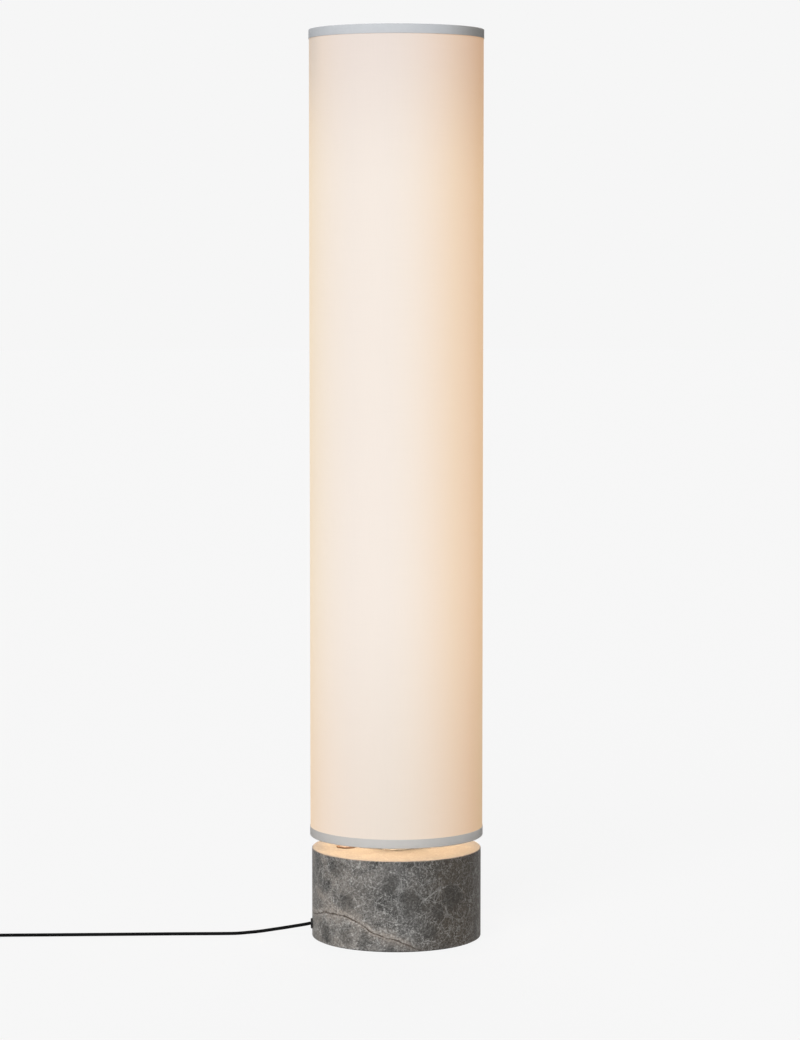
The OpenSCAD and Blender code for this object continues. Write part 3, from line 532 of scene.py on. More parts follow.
    @staticmethod
    def _brown_vein(graph: Graph, place: bpy.types.NodeSocket) -> tuple[Signal, Signal]:
        """Gives the beige halo and the brown core of the wavy vein that crosses the block."""
        x, y, z = graph.split(place)
        slope = 0.0125 - (x + y * 0.10 + 0.0113) * 0.450 - x.step(-0.062, -0.036) * x.step(
            -0.004, -0.030) * 0.0040
        line = slope.math("SMOOTH_MIN", slope, 0.0440, 0.006) - x.step(-0.096, -0.114) * 0.0095
        wander = (graph.noise(place, 70.0, 3.0) - 0.5) * 0.0060
        off = z - line + wander
        ragged = (graph.noise(place, 60.0, 5.0, 0.68) - 0.5) * 0.024
        near = x.step(0.045, -0.020)
        halo = (abs(off - 0.0010 + ragged).step(0.0160, 0.0020) * 0.50).larger(
            abs(off - 0.0012 + ragged * 0.3).step(0.0068, 0.0034) * 0.92) * near
        branch = graph.away(graph.drifted(place, 60.0, 0.006), (-0.108, -0.030, 0.072),
                            (-0.080, -0.079, 0.046))
        halo = halo.larger(branch.step(0.0080, 0.0025) * 0.85)
        broken = graph.noise(place, 90.0, 2.0).step(0.36, 0.56)
        second = abs(off + 0.0042 + wander * 0.5).step(0.0008, 0.0001)
        second = second * x.step(-0.064, -0.054) * 0.5
        core = (abs(off).step(0.0017, 0.0004) * (0.46 + broken * 0.48)).larger(
            second * broken).larger(branch.step(0.0014, 0.0003) * broken * 0.55)
        return halo, core * near.math("SQRT", near)


@dataclass(frozen=True)
class ShadeCloth(Finish):
    """Off-white plain weave that lets the column's light through, shown as a glow whose changes round the
    drum and with height are painted light and shade.
    """

    slot: str = "shade_cloth"
    colour: Colour = (0.46, 0.457, 0.452)
    # The glows by side and the tints below are painted light and shade: the glow changes colour round the
    # drum as the studio light falls on it, dims towards the bottom and the top, and pales at the right edge
    front_glow: Colour = (0.378, 0.288, 0.216)
    left_glow: Colour = (0.646, 0.472, 0.236)
    right_glow: Colour = (0.622, 0.350, 0.098)
    back_glow: Colour = (0.620, 0.420, 0.260)
    low_painted_shade: Colour = (0.770, 0.670, 0.490)
    low_left_painted_shade: Colour = (0.900, 0.760, 0.600)
    top_painted_shade: Colour = (0.795, 0.704, 0.677)
    edge_painted_light: Colour = (1.02, 1.04, 1.28)
    top_left_painted_shade: Colour = (0.80, 0.84, 0.92)
    top_right_painted_shade: Colour = (0.94, 0.91, 0.80)
    low_right_painted_light: Colour = (1.0, 1.10, 1.26)
    pitch: float = 0.00058

    def sockets(self, graph: Graph) -> dict[str, Any]:
        """Gives the cloth's weave, its own colour and the light that comes through it, with painted light
        and shade on the glow by side and height.
        """
        across, up, _ = graph.split(graph.along())
        weave = across.wave(2 * self.pitch) * up.wave(2 * self.pitch)
        weave = weave * weave
        warp = graph.noise(graph.stretched(graph.along(), (1500.0, 18.0, 1.0)), 1.0, 2.0)
        weft = graph.noise(graph.stretched(graph.along(), (18.0, 1500.0, 1.0)), 1.0, 2.0)
        slub = (warp + weft) * 0.5
        x, y, z = graph.split(graph.place())
        # Painted light and shade round the drum: how far each side faces along the key light's line, front
        # or back
        facing = (x * 0.375 + y * 0.927) * (1 / 0.1142)
        glow = graph.blend(self.left_glow, self.right_glow, x.step(-0.04, 0.05))
        glow = graph.blend(glow, self.back_glow, y.step(0.010, 0.060))
        glow = graph.blend(self.front_glow, glow, 0.763 - facing * facing * 0.79)
        # Painted shade darker and warmer towards the bottom and the top, darker top corners, and painted
        # light as paler rims on the right
        low = graph.blend(self.low_left_painted_shade, self.low_painted_shade, x.step(-0.11, -0.02))
        glow = graph.tinted(glow, low, z.step(0.50, 0.10))
        glow = graph.tinted(glow, self.top_painted_shade, z.step(0.98, 1.20))
        edge = (facing * facing).step(0.30, 0.0) * x.step(-0.02, 0.06)
        glow = graph.tinted(glow, self.edge_painted_light, edge)
        top = z.step(1.06, 1.19)
        glow = graph.tinted(glow, self.top_left_painted_shade, top * x.step(-0.098, -0.112))
        glow = graph.tinted(glow, self.top_right_painted_shade, z.step(0.90, 1.15) * x.step(0.04, 0.10))
        glow = graph.tinted(glow, self.low_right_painted_light, z.step(0.45, 0.20) * x.step(0.09, 0.112))
        return {
            "Base Color": graph.dimmed(self.colour, 0.95 + slub * 0.06 + weave * 0.04),
            "Roughness": 0.88,
            "Specular IOR Level": 0.12,
            "Emission Color": graph.dimmed(glow, 0.97 + slub * 0.06),
            "Emission Strength": 1.0,
            "Normal": graph.bump(weave * 0.7 + slub * 0.6, 0.00012, 0.5),
        }


@dataclass(frozen=True)
class RimTape(Finish):
    """Grey ribbed binding tape, with painted light and shade: warmer low down and on the right, paler low
    on the right and darker high on the right.
    """

    slot: str = "rim_tape"
    colour: Colour = (0.50, 0.515, 0.535)
    warm_painted_light: Colour = (1.0, 0.94, 0.87)
    rib: float = 0.0011

    def sockets(self, graph: Graph) -> dict[str, Any]:
        """Gives the tape's ribs, its slightly uneven dye and its painted light and shade."""
        round_it, across, _ = graph.split(graph.along())
        ribs = 0.5 + round_it.wave(self.rib) * 0.5
        uneven = graph.noise(graph.place(), 160.0, 3.0)
        selvedge = abs(across - 0.0055).step(0.0053, 0.0057)
        x, _, z = graph.split(graph.place())
        # Painted light and shade: the right side is paler on the bottom tape and darker on the top tape
        side = x.step(0.05, 0.112) * (0.34 - z.step(0.4, 0.9) * 0.58)
        # Painted warm light: the bottom tape and the right side are tinted warm
        warm_light_share = z.step(0.9, 0.4).larger(x.step(0.04, 0.11))
        lit_colour = graph.tinted(self.colour, self.warm_painted_light, warm_light_share)
        return {
            "Base Color": graph.dimmed(
                lit_colour, 0.93 + ribs * 0.05 + uneven * 0.08 - selvedge * 0.05 + side),
            "Roughness": 0.70,
            "Specular IOR Level": 0.08,
            "Normal": graph.bump(ribs + uneven * 0.4, 0.00016, 0.55),
        }


@dataclass(frozen=True)
class Moulded(Finish):
    """Moulded plastic with a fine spark-eroded grain."""

    colour: Colour
    roughness: float = 0.5
    grain: float = 2200.0
    gloss: float = 0.5

    def sockets(self, graph: Graph) -> dict[str, Any]:
        """Gives the plastic's colour, gloss and grain."""
        place = graph.place()
        grain = graph.noise(place, self.grain, 2.0, 0.6)
        flow = graph.noise(place, 60.0, 3.0)
        return {
            "Base Color": graph.dimmed(self.colour, 0.90 + flow * 0.12 + grain * 0.08),
            "Roughness": self.roughness + (flow - 0.5) * 0.12,
            "Specular IOR Level": self.gloss,
            "Normal": graph.bump(grain, 0.00004, 0.5),
        }


@dataclass(frozen=True)
class Metal(Finish):
    """Bare or plated metal with fine lines from the tool that finished it."""

    colour: Colour
    roughness: float = 0.3
    lines: Point = (40.0, 40.0, 2400.0)
    metallic: float = 1.0
    gloss: float = 0.5

    def sockets(self, graph: Graph) -> dict[str, Any]:
        """Gives the metal's tint, its tool lines and its handling marks."""
        place = graph.place()
        lines = graph.noise(graph.stretched(place, self.lines), 1.0, 3.0, 0.6)
        marks = graph.noise(place, 90.0, 4.0, 0.65)
        return {
            "Base Color": graph.dimmed(self.colour, 0.90 + lines * 0.10 + marks * 0.08),
            "Metallic": self.metallic,
            "Specular IOR Level": self.gloss,
            "Roughness": self.roughness + (marks - 0.5) * 0.16 + (lines - 0.5) * 0.10,
            "Normal": graph.bump(lines, 0.00002, 0.5),
        }


@dataclass(frozen=True)
class Painted(Finish):
    """Powder coat with its fine orange peel."""

    colour: Colour
    roughness: float = 0.45

    def sockets(self, graph: Graph) -> dict[str, Any]:
        """Gives the paint's colour, gloss and peel."""
        place = graph.place()
        peel = graph.noise(place, 520.0, 2.0, 0.5)
        cloud = graph.noise(place, 25.0, 2.0)
        return {
            "Base Color": graph.dimmed(self.colour, 0.95 + cloud * 0.06 + peel * 0.03),
            "Roughness": self.roughness + (cloud - 0.5) * 0.10,
            "Normal": graph.bump(peel, 0.00005, 0.5),
        }


@dataclass(frozen=True)
class Felt(Finish):
    """Pressed wool felt."""

    slot: str = "felt"
    colour: Colour = (0.030, 0.030, 0.032)

    def sockets(self, graph: Graph) -> dict[str, Any]:
        """Gives the felt's matted fibres."""
        place = graph.place()
        fibres = graph.noise(graph.drifted(place, 300.0, 0.002), 1400.0, 4.0, 0.75)
        return {
            "Base Color": graph.dimmed(self.colour, 0.6 + fibres * 0.9),
            "Roughness": 0.95,
            "Specular IOR Level": 0.15,
            "Normal": graph.bump(fibres, 0.0003, 0.8),
        }


@dataclass(frozen=True)
class CordJacket(Finish):
    """Smooth black jacket of a round cord, with faint marks of the twisted cores under it."""

    slot: str = "cord_black"
    colour: Colour = (0.0040, 0.0040, 0.0042)

    def sockets(self, graph: Graph) -> dict[str, Any]:
        """Gives the jacket's satin gloss and faint twist."""
        along, around, _ = graph.split(graph.along())
        twist = (along + around * 2.2).wave(0.030)
        scuff = graph.noise(graph.stretched(graph.along(), (60.0, 400.0, 1.0)), 1.0, 4.0, 0.6)
        return {
            "Base Color": graph.dimmed(self.colour, 0.8 + scuff * 0.5),
            "Roughness": 0.58 + scuff * 0.16,
            "Specular IOR Level": 0.03,
            "Normal": graph.bump(0.5 + twist * 0.5 + scuff * 0.3, 0.00006, 0.6),
        }


@dataclass(frozen=True)
class Glowing(Finish):
    """Plastic or phosphor that shines by itself; on the liner the glow is painted light that stands for the
    column's light falling on it.
    """

    colour: Colour
    glow: Colour
    strength: float
    roughness: float = 0.4
    streaks: Point = (30.0, 30.0, 6.0)

    def sockets(self, graph: Graph) -> dict[str, Any]:
        """Gives the piece's colour and its slightly uneven light."""
        place = graph.place()
        cloud = graph.noise(graph.stretched(place, self.streaks), 1.0, 3.0)
        grain = graph.noise(place, 1200.0, 2.0)
        return {
            "Base Color": graph.dimmed(self.colour, 0.94 + cloud * 0.08 + grain * 0.04),
            "Roughness": self.roughness + (grain - 0.5) * 0.1,
            "Emission Color": graph.dimmed(self.glow, 0.92 + cloud * 0.16),
            "Emission Strength": self.strength,
            "Normal": graph.bump(grain, 0.00002, 0.4),
        }


@dataclass(frozen=True)
class LampLight(Glowing):
    """The opal tube, brighter in front of each row of chips."""

    slot: str = "opal"
    colour: Colour = (0.90, 0.88, 0.84)
    glow: Colour = (1.0, 0.76, 0.50)
    strength: float = 1.15

    def sockets(self, graph: Graph) -> dict[str, Any]:
        """Gives the tube's glow with soft spots one board pitch apart."""
        found = super().sockets(graph)
        x, y, z = graph.split(graph.place())
        spots = 0.5 + (z - 0.1831).wave(0.0611) * 0.5
        facing = abs(x).larger(abs(y)).step(0.0215, 0.030)
        found["Emission Color"] = graph.dimmed(self.glow, 0.88 + spots * facing * 0.14)
        return found


FINISHES: dict[str, Finish] = {
    finish.slot: finish
    for finish in (
        VeinedStone(),
        Felt(),
        ShadeCloth(),
        RimTape(),
        CordJacket(),
        LampLight(),
        Painted("plate_steel", (0.020, 0.020, 0.022)),
        Metal("zinc_steel", (0.60, 0.60, 0.61), 0.32),
        Metal("brass", (0.72, 0.50, 0.20), 0.30),
        Metal("bezel_bronze", (0.088, 0.056, 0.041), 0.55, metallic=0.08, gloss=0.06),
        Metal("cap_bronze", (0.185, 0.175, 0.18), 0.50, (1800.0, 40.0, 40.0), 0.35, 0.10),
        Moulded("black_plastic", (0.008, 0.008, 0.008), gloss=0.14),
        Moulded("grey_plastic", (0.11, 0.11, 0.115)),
        Moulded("white_plastic", (0.72, 0.72, 0.70), 0.38),
        Moulded("terminal_plastic", (0.66, 0.62, 0.50), 0.45),
        Metal("aluminium", (0.74, 0.75, 0.76), 0.36, lines=(2400.0, 2400.0, 30.0)),
        Moulded("board_white", (0.80, 0.80, 0.78), 0.30, 900.0),
        Glowing("led_yellow", (0.90, 0.70, 0.22), (1.0, 0.80, 0.50), 2.0),
        Painted("column_paint", (0.76, 0.76, 0.75), 0.60),
        # Painted light: the liner glows as if lit by the column, though it is no lamp
        Glowing("liner_white", (0.60, 0.59, 0.57), (0.60, 0.44, 0.30), 0.30, 0.6),
        Metal("pin_metal", (0.70, 0.68, 0.62), 0.22),
    )
}


# Shapes


def add_piece(name: str, points: Sequence[Sequence[float]], faces: Iterable[Sequence[int]],
              uvs: Sequence[tuple[float, float]] | None = None) -> bpy.types.Object:
    """Adds a mesh object to the scene.

    Args:
        name: The piece's name.
        points: Its corners.
        faces: The corners of each face.
        uvs: One map point for each corner of each face, in the order of the faces.

    Returns:
        The object.
    """
    mesh = bpy.data.meshes.new(name)
    mesh.from_pydata([tuple(p) for p in points], [], [tuple(f) for f in faces])
    if uvs:
        layer = mesh.uv_layers.new(name="UVMap")
        layer.data.foreach_set("uv", [n for uv in uvs for n in uv])
    piece = bpy.data.objects.new(name, mesh)
    bpy.context.scene.collection.objects.link(piece)
    return piece


def tidied(piece: bpy.types.Object, merge: float = 1e-6) -> bpy.types.Object:
    """Merges a piece's doubled points and turns its faces outward.

    Args:
        piece: A closed piece.
        merge: Points nearer than this become one.

    Returns:
        The same piece.
    """
    work = bmesh.new()
    work.from_mesh(piece.data)
    bmesh.ops.remove_doubles(work, verts=work.verts, dist=merge)
    bmesh.ops.recalc_face_normals(work, faces=work.faces)
    work.to_mesh(piece.data)
    work.free()
    return piece


def settled(piece: bpy.types.Object) -> bpy.types.Object:
    """Makes a piece's modified shape its plain mesh.

    Args:
        piece: A piece with modifiers.

    Returns:
        The same piece, without modifiers.
    """
    graph = bpy.context.evaluated_depsgraph_get()
    graph.update()
    mesh = bpy.data.meshes.new_from_object(piece.evaluated_get(graph))
    piece.modifiers.clear()
    piece.data = mesh
    mesh.name = piece.name
    return piece


def smoothed(piece: bpy.types.Object, degrees: float = 32.0) -> bpy.types.Object:
    """Shades a piece smoothly and keeps its edges crisp.

    Args:
        piece: The piece.
        degrees: Edges sharper than this stay crisp.

    Returns:
        The same piece.
    """
    mesh = piece.data
    mesh.polygons.foreach_set("use_smooth", [True] * len(mesh.polygons))
    mesh.set_sharp_from_angle(angle=math.radians(degrees))
    return piece


def eased(corners: Sequence[tuple[float, float, float]], steps: int = 5) -> Outline:
    """Rounds the corners of a closed outline.

    Args:
        corners: Corner points with the radius that each one is rounded by.
        steps: Chords in each rounded corner.

    Returns:
        The outline's points.
    """
    outline: Outline = []
    count = len(corners)
    for i, (x, y, radius) in enumerate(corners):
        here = Vector((x, y))
        if radius <= 0:
            outline.append((x, y))
            continue
        before = Vector(corners[i - 1][:2]) - here
        after = Vector(corners[(i + 1) % count][:2]) - here
        half = before.angle(after) / 2
        reach = min(radius / math.tan(half), before.length * 0.499, after.length * 0.499)
        start, end = here + before.normalized() * reach, here + after.normalized() * reach
        centre = here + (before.normalized() + after.normalized()).normalized() * (
            reach / math.cos(half))
        first, last = start - centre, end - centre
        begin = math.atan2(first.y, first.x)
        turn = (math.atan2(last.y, last.x) - begin + math.pi) % (2 * math.pi) - math.pi
        for k in range(steps + 1):
            angle = begin + turn * k / steps
            outline.append((centre.x + first.length * math.cos(angle),
                            centre.y + first.length * math.sin(angle)))
    return outline


def turned(name: str, outline: Outline, sides: int = 144, centre: Point = (0.0, 0.0, 0.0),
           axis: Axis = Axis.UP) -> bpy.types.Object:
    """Turns a closed outline about an axis.

    Args:
        name: The piece's name.
        outline: (radius, distance along the axis) points of a closed outline.
        sides: Facets round the axis.
        centre: The point that the axis runs through.
        axis: Which way the axis points.

    Returns:
        The closed piece.
    """
    points: list[Vector] = []
    rings: list[list[int]] = []
    for radius, along in outline:
        here = 1 if radius < 1e-7 else sides
        rings.append([len(points) + k % here for k in range(sides)])
        for k in range(here):
            angle = 2 * math.pi * k / sides
            points.append(Vector((radius * math.cos(angle), radius * math.sin(angle), along)))
    faces = []
    for i, ring in enumerate(rings):
        other = rings[(i + 1) % len(rings)]
        for k in range(sides):
            corners = [ring[k], ring[(k + 1) % sides], other[(k + 1) % sides], other[k]]
            face = list(dict.fromkeys(corners))
            if len(face) > 2:
                faces.append(face)
    if axis is Axis.LEFT:
        points = [Vector((-p.z, p.y, p.x)) for p in points]
    piece = add_piece(name, [p + Vector(centre) for p in points], faces)
    return tidied(piece)


def swept(name: str, path: Sequence[Vector], radius: float, sides: int = 12) -> bpy.types.Object:
    """Runs a round tube along a path and maps it in metres.

    Args:
        name: The piece's name.
        path: The centres of its rings.
        radius: Its radius.
        sides: Facets round it.

    Returns:
        The closed tube.
    """
    points: list[Vector] = []
    faces: list[list[int]] = []
    uvs: list[tuple[float, float]] = []
    last = len(path) - 1
    side = Vector((0.0, 0.0, 1.0))
    run = [0.0]
    for i, here in enumerate(path):
        heading = (path[min(i + 1, last)] - path[max(i - 1, 0)]).normalized()
        side = side - heading * side.dot(heading)
        if side.length < 1e-4:
            side = heading.orthogonal()
        side.normalize()
        other = heading.cross(side)
        if i:
            run.append(run[-1] + (here - path[i - 1]).length)
        for k in range(sides):
            angle = 2 * math.pi * k / sides
            points.append(here + radius * (math.cos(angle) * side + math.sin(angle) * other))
    width = 2 * math.pi * radius / sides
    for i in range(last):
        for k in range(sides):
            a, b = i * sides + k, i * sides + (k + 1) % sides
            faces.append([a, b, b + sides, a + sides])
            uvs += [(run[i], k * width), (run[i], (k + 1) * width),
                    (run[i + 1], (k + 1) * width), (run[i + 1], k * width)]
    for start, order in ((0, -1), (last * sides, 1)):
        faces.append([start + k for k in range(sides)][::order])
        uvs += [(run[0 if start == 0 else last], 0.0)] * sides
    return add_piece(name, points, faces, uvs)


def lofted(name: str, sections: Sequence[Sequence[Vector]]) -> bpy.types.Object:
    """Joins a row of rings with equal counts of points into a closed piece.

    Args:
        name: The piece's name.
        sections: The rings, from one end to the other.

    Returns:
        The closed piece.
    """
    count = len(sections[0])
    faces = [[i * count + k, i * count + (k + 1) % count,
              (i + 1) * count + (k + 1) % count, (i + 1) * count + k]
             for i in range(len(sections) - 1) for k in range(count)]
    faces.append(list(range(count)))
    faces.append([(len(sections) - 1) * count + k for k in range(count)])
    return tidied(add_piece(name, [p for ring in sections for p in ring], faces))


def without(piece: bpy.types.Object, *cutters: bpy.types.Object) -> bpy.types.Object:
    """Cuts other pieces' shapes out of a piece and removes the cutters.

    Args:
        piece: The piece that is cut.
        cutters: Closed pieces.

    Returns:
        The cut piece.
    """
    for cutter in cutters:
        cut = piece.modifiers.new("cut", "BOOLEAN")
        cut.operation = "DIFFERENCE"
        cut.solver = "EXACT"
        cut.object = cutter
    settled(piece)
    for cutter in cutters:
        bpy.data.objects.remove(cutter)
    return piece


def joined(piece: bpy.types.Object, *others: bpy.types.Object) -> bpy.types.Object:
    """Adds other pieces' meshes to a piece and removes them."""
    work = bmesh.new()
    work.from_mesh(piece.data)
    for other in others:
        work.from_mesh(other.data)
        bpy.data.objects.remove(other)
    work.to_mesh(piece.data)
    work.free()
    return piece


def rod(start: Point, end: Point, radius: float, sides: int = 64) -> bpy.types.Object:
    """Makes a straight closed rod, to cut or to join with."""
    return tidied(swept("rod", [Vector(start), Vector(end)], radius, sides))


def cad_copy(node: str) -> bpy.types.Object:
    """Copies a solid of the frame with its loose triangles joined and its round sides smooth."""
    source = frame["nodes"][node]
    piece = bpy.data.objects.new(f"{node}_fine", source.data.copy())
    bpy.context.scene.collection.objects.link(piece)
    work = bmesh.new()
    work.from_mesh(piece.data)
    bmesh.ops.remove_doubles(work, verts=work.verts, dist=2e-6)
    bmesh.ops.dissolve_degenerate(work, edges=work.edges, dist=1e-7)
    work.to_mesh(piece.data)
    work.free()
    piece.data.materials.clear()
    return smoothed(piece, 28.0)


# Shapes that follow a rule


class ShapeTree:
    """A Geometry Nodes tree with named inputs that ends in one plain mesh."""

    def __init__(self, name: str, inputs: dict[str, str]) -> None:
        """Starts the tree.

        Args:
            name: The tree's name.
            inputs: The kind of each named input: Float, Int or Material.
        """
        self.tree = bpy.data.node_groups.new(name, "GeometryNodeTree")
        self.tree.interface.new_socket(
            "Geometry", in_out="INPUT", socket_type="NodeSocketGeometry")
        for label, kind in inputs.items():
            self.tree.interface.new_socket(label, in_out="INPUT", socket_type=f"NodeSocket{kind}")
        self.tree.interface.new_socket(
            "Material", in_out="INPUT", socket_type="NodeSocketMaterial")
        self.tree.interface.new_socket(
            "Geometry", in_out="OUTPUT", socket_type="NodeSocketGeometry")
        self.graph = Graph(self.tree)
        self.given = self.graph.node("NodeGroupInput")

    def value(self, label: str) -> Signal:
        """Gives a named number as a signal."""
        return Signal(self.graph, self.given.outputs[label])

    def finish(self, geometry: bpy.types.NodeSocket) -> None:
        """Ends the tree: instances become real and take the finish."""
        real = self.graph.node("GeometryNodeRealizeInstances", sockets={0: geometry})
        dressed = self.graph.node("GeometryNodeSetMaterial", sockets={
            "Geometry": real.outputs[0], "Material": self.given.outputs["Material"]})
        self.graph.node("NodeGroupOutput", sockets={0: dressed.outputs[0]})

    def shape(self, piece: bpy.types.Object, finish: Finish, **values: float) -> bpy.types.Object:
        """Runs the tree on a piece and keeps the result as its plain mesh.

        Args:
            piece: The piece whose mesh the tree starts from.
            finish: The finish that the result takes.
            values: The tree's inputs, with _ for each space of their names.

        Returns:
            The same piece.
        """
        modifier = piece.modifiers.new("shape", "NODES")
        modifier.node_group = self.tree
        wanted = {key.replace("_", " "): value for key, value in values.items()}
        wanted["material"] = finish.material()
        for item in self.tree.interface.items_tree:
            if item.in_out == "INPUT" and item.name.lower() in wanted:
                modifier[item.identifier] = wanted[item.name.lower()]
        return settled(piece)


def copies_tree() -> ShapeTree:
    """Sets copies of a piece in rings round the lamp's axis, in rows one above the other."""
    made = ShapeTree("rings_of_copies", {
        "Copies": "Int", "Radius": "Float", "Start": "Float", "Rows": "Int",
        "Height": "Float", "Pitch": "Float"})
    graph = made.graph
    ring = graph.node("GeometryNodeMeshCircle", sockets={
        "Vertices": made.value("Copies"), "Radius": made.value("Radius")})
    index = Signal(graph, graph.node("GeometryNodeInputIndex").outputs[0])
    turn = graph.join(0.0, 0.0, index * (2 * math.pi) / made.value("Copies"))
    turned_by = graph.node("FunctionNodeEulerToRotation", sockets={0: turn})
    placed = graph.node("GeometryNodeInstanceOnPoints", sockets={
        "Points": ring.outputs[0], "Instance": made.given.outputs["Geometry"],
        "Rotation": turned_by.outputs[0]})
    rows = graph.node("GeometryNodeMeshLine", sockets={
        "Count": made.value("Rows"),
        "Start Location": graph.join(0.0, 0.0, made.value("Height")),
        "Offset": graph.join(0.0, 0.0, made.value("Pitch"))})
    stacked = graph.node("GeometryNodeInstanceOnPoints", sockets={
        "Points": rows.outputs[0], "Instance": placed.outputs[0]})
    start = graph.join(0.0, 0.0, made.value("Start"))
    around = graph.node("GeometryNodeTransform", sockets={
        "Geometry": stacked.outputs[0], "Rotation": start})
    made.finish(around.outputs[0])
    return made


def wrapped_tree() -> ShapeTree:
    """Wraps a flat sheet into a drum whose two ends overlap."""
    made = ShapeTree("wrapped_sheet", {
        "Radius": "Float", "Bottom": "Float", "Height": "Float", "Lap": "Float",
        "Step": "Float", "Start": "Float", "Columns": "Int", "Rows": "Int", "Unevenness": "Float"})
    graph = made.graph
    radius = made.value("Radius")
    length = radius * (2 * math.pi) + made.value("Lap")
    sheet = graph.node("GeometryNodeMeshGrid", sockets={
        "Size X": length, "Size Y": made.value("Height"),
        "Vertices X": made.value("Columns"), "Vertices Y": made.value("Rows")})
    x, y, _ = graph.split(graph.node("GeometryNodeInputPosition").outputs[0])
    along, up = x + length * 0.5, y + made.value("Height") * 0.5
    metres = graph.node("GeometryNodeStoreNamedAttribute",
                        {"data_type": "FLOAT2", "domain": "CORNER"},
                        {"Geometry": sheet.outputs[0], "Name": "UVMap",
                         "Value": graph.join(along, up, 0.0)})
    left = along - (length - made.value("Lap"))
    lift = left.step(-0.010, -0.0015) * made.value("Step")
    angle = made.value("Start") + along / radius
    uneven = graph.noise(graph.join(angle.math("COSINE", angle) * 3.0,
                                    angle.math("SINE", angle) * 3.0, up * 4.0), 1.0, 2.0)
    out = radius + lift + (uneven - 0.5) * made.value("Unevenness")
    moved = graph.node("GeometryNodeSetPosition", sockets={
        "Geometry": metres.outputs[0],
        "Position": graph.join(out * angle.math("COSINE", angle), out * angle.math("SINE", angle),
                               up + made.value("Bottom"))})
    made.finish(moved.outputs[0])
    return made


def spider_tree() -> ShapeTree:
    """Joins a hub, a wire hoop and the bent arms between them."""
    made = ShapeTree("wire_spider", {
        "Hoop": "Float", "Hoop Height": "Float", "Wire": "Float", "Arm": "Float",
        "Inner": "Float", "Bend": "Float", "Bend Height": "Float", "Arms": "Int", "Start": "Float"})
    graph = made.graph
    hoop = graph.node("GeometryNodeCurvePrimitiveCircle", {"mode": "RADIUS"}, {
        "Resolution": 180, "Radius": made.value("Hoop")})
    lifted = graph.node("GeometryNodeTransform", sockets={
        "Geometry": hoop.outputs[0], "Translation": graph.join(0.0, 0.0, made.value("Hoop Height"))})
    line = graph.node("GeometryNodeCurvePrimitiveLine", {"mode": "POINTS"}, {
        "Start": graph.join(made.value("Inner"), 0.0, made.value("Bend Height")),
        "End": graph.join(made.value("Hoop"), 0.0, made.value("Hoop Height"))})
    three = graph.node("GeometryNodeResampleCurve", {"mode": "COUNT"},
                       {"Curve": line.outputs[0], "Count": 3})
    index = graph.node("GeometryNodeInputIndex")
    middle = graph.node("FunctionNodeCompare", {"data_type": "INT", "operation": "EQUAL"},
                        {2: index.outputs[0], 3: 1})
    bent = graph.node("GeometryNodeSetPosition", sockets={
        "Geometry": three.outputs[0], "Selection": middle.outputs[0],
        "Position": graph.join(made.value("Bend"), 0.0, made.value("Bend Height"))})
    soft = graph.node("GeometryNodeFilletCurve", {"mode": "POLY"}, {
        "Curve": bent.outputs[0], "Count": 5, "Radius": 0.006})
    solids = []
    for curve, size in ((lifted, "Wire"), (soft, "Arm")):
        section = graph.node("GeometryNodeCurvePrimitiveCircle", {"mode": "RADIUS"}, {
            "Resolution": 16, "Radius": made.value(size)})
        solids.append(graph.node("GeometryNodeCurveToMesh", sockets={
            "Curve": curve.outputs[0], "Profile Curve": section.outputs[0], "Fill Caps": True}))
    spots = graph.node("GeometryNodeMeshCircle", sockets={
        "Vertices": made.value("Arms"), "Radius": 0.0})
    turn = Signal(graph, index.outputs[0]) * (2 * math.pi) / made.value("Arms")
    turned_by = graph.node("FunctionNodeEulerToRotation", sockets={
        0: graph.join(0.0, 0.0, turn + made.value("Start"))})
    arms = graph.node("GeometryNodeInstanceOnPoints", sockets={
        "Points": spots.outputs[0], "Instance": solids[1].outputs[0],
        "Rotation": turned_by.outputs[0]})
    whole = graph.node("GeometryNodeJoinGeometry")
    for part in (made.given.outputs["Geometry"], solids[0].outputs[0], arms.outputs[0]):
        graph.tree.links.new(part, whole.inputs[0])
    made.finish(whole.outputs[0])
    return made


# Sub-assemblies


def fit(piece: bpy.types.Object, slot: str, *nodes: str,
        body: Body = Body.LAMP) -> bpy.types.Object:
    """Dresses a finished piece and sets it on its body.

    Args:
        piece: The piece, in its place.
        slot: The material slot that it takes its finish from.
        nodes: The frame's solids that it stands for.
        body: The body that it rides on.

    Returns:
        The same piece.
    """
    piece.data.materials.clear()
    piece.data.materials.append(FINISHES[slot].material())
    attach(piece, body.value)
    if nodes:
        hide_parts(*nodes)
    log.info("%s: %d faces, %s, on %s", piece.name, len(piece.data.polygons), slot, body.value)
    return piece


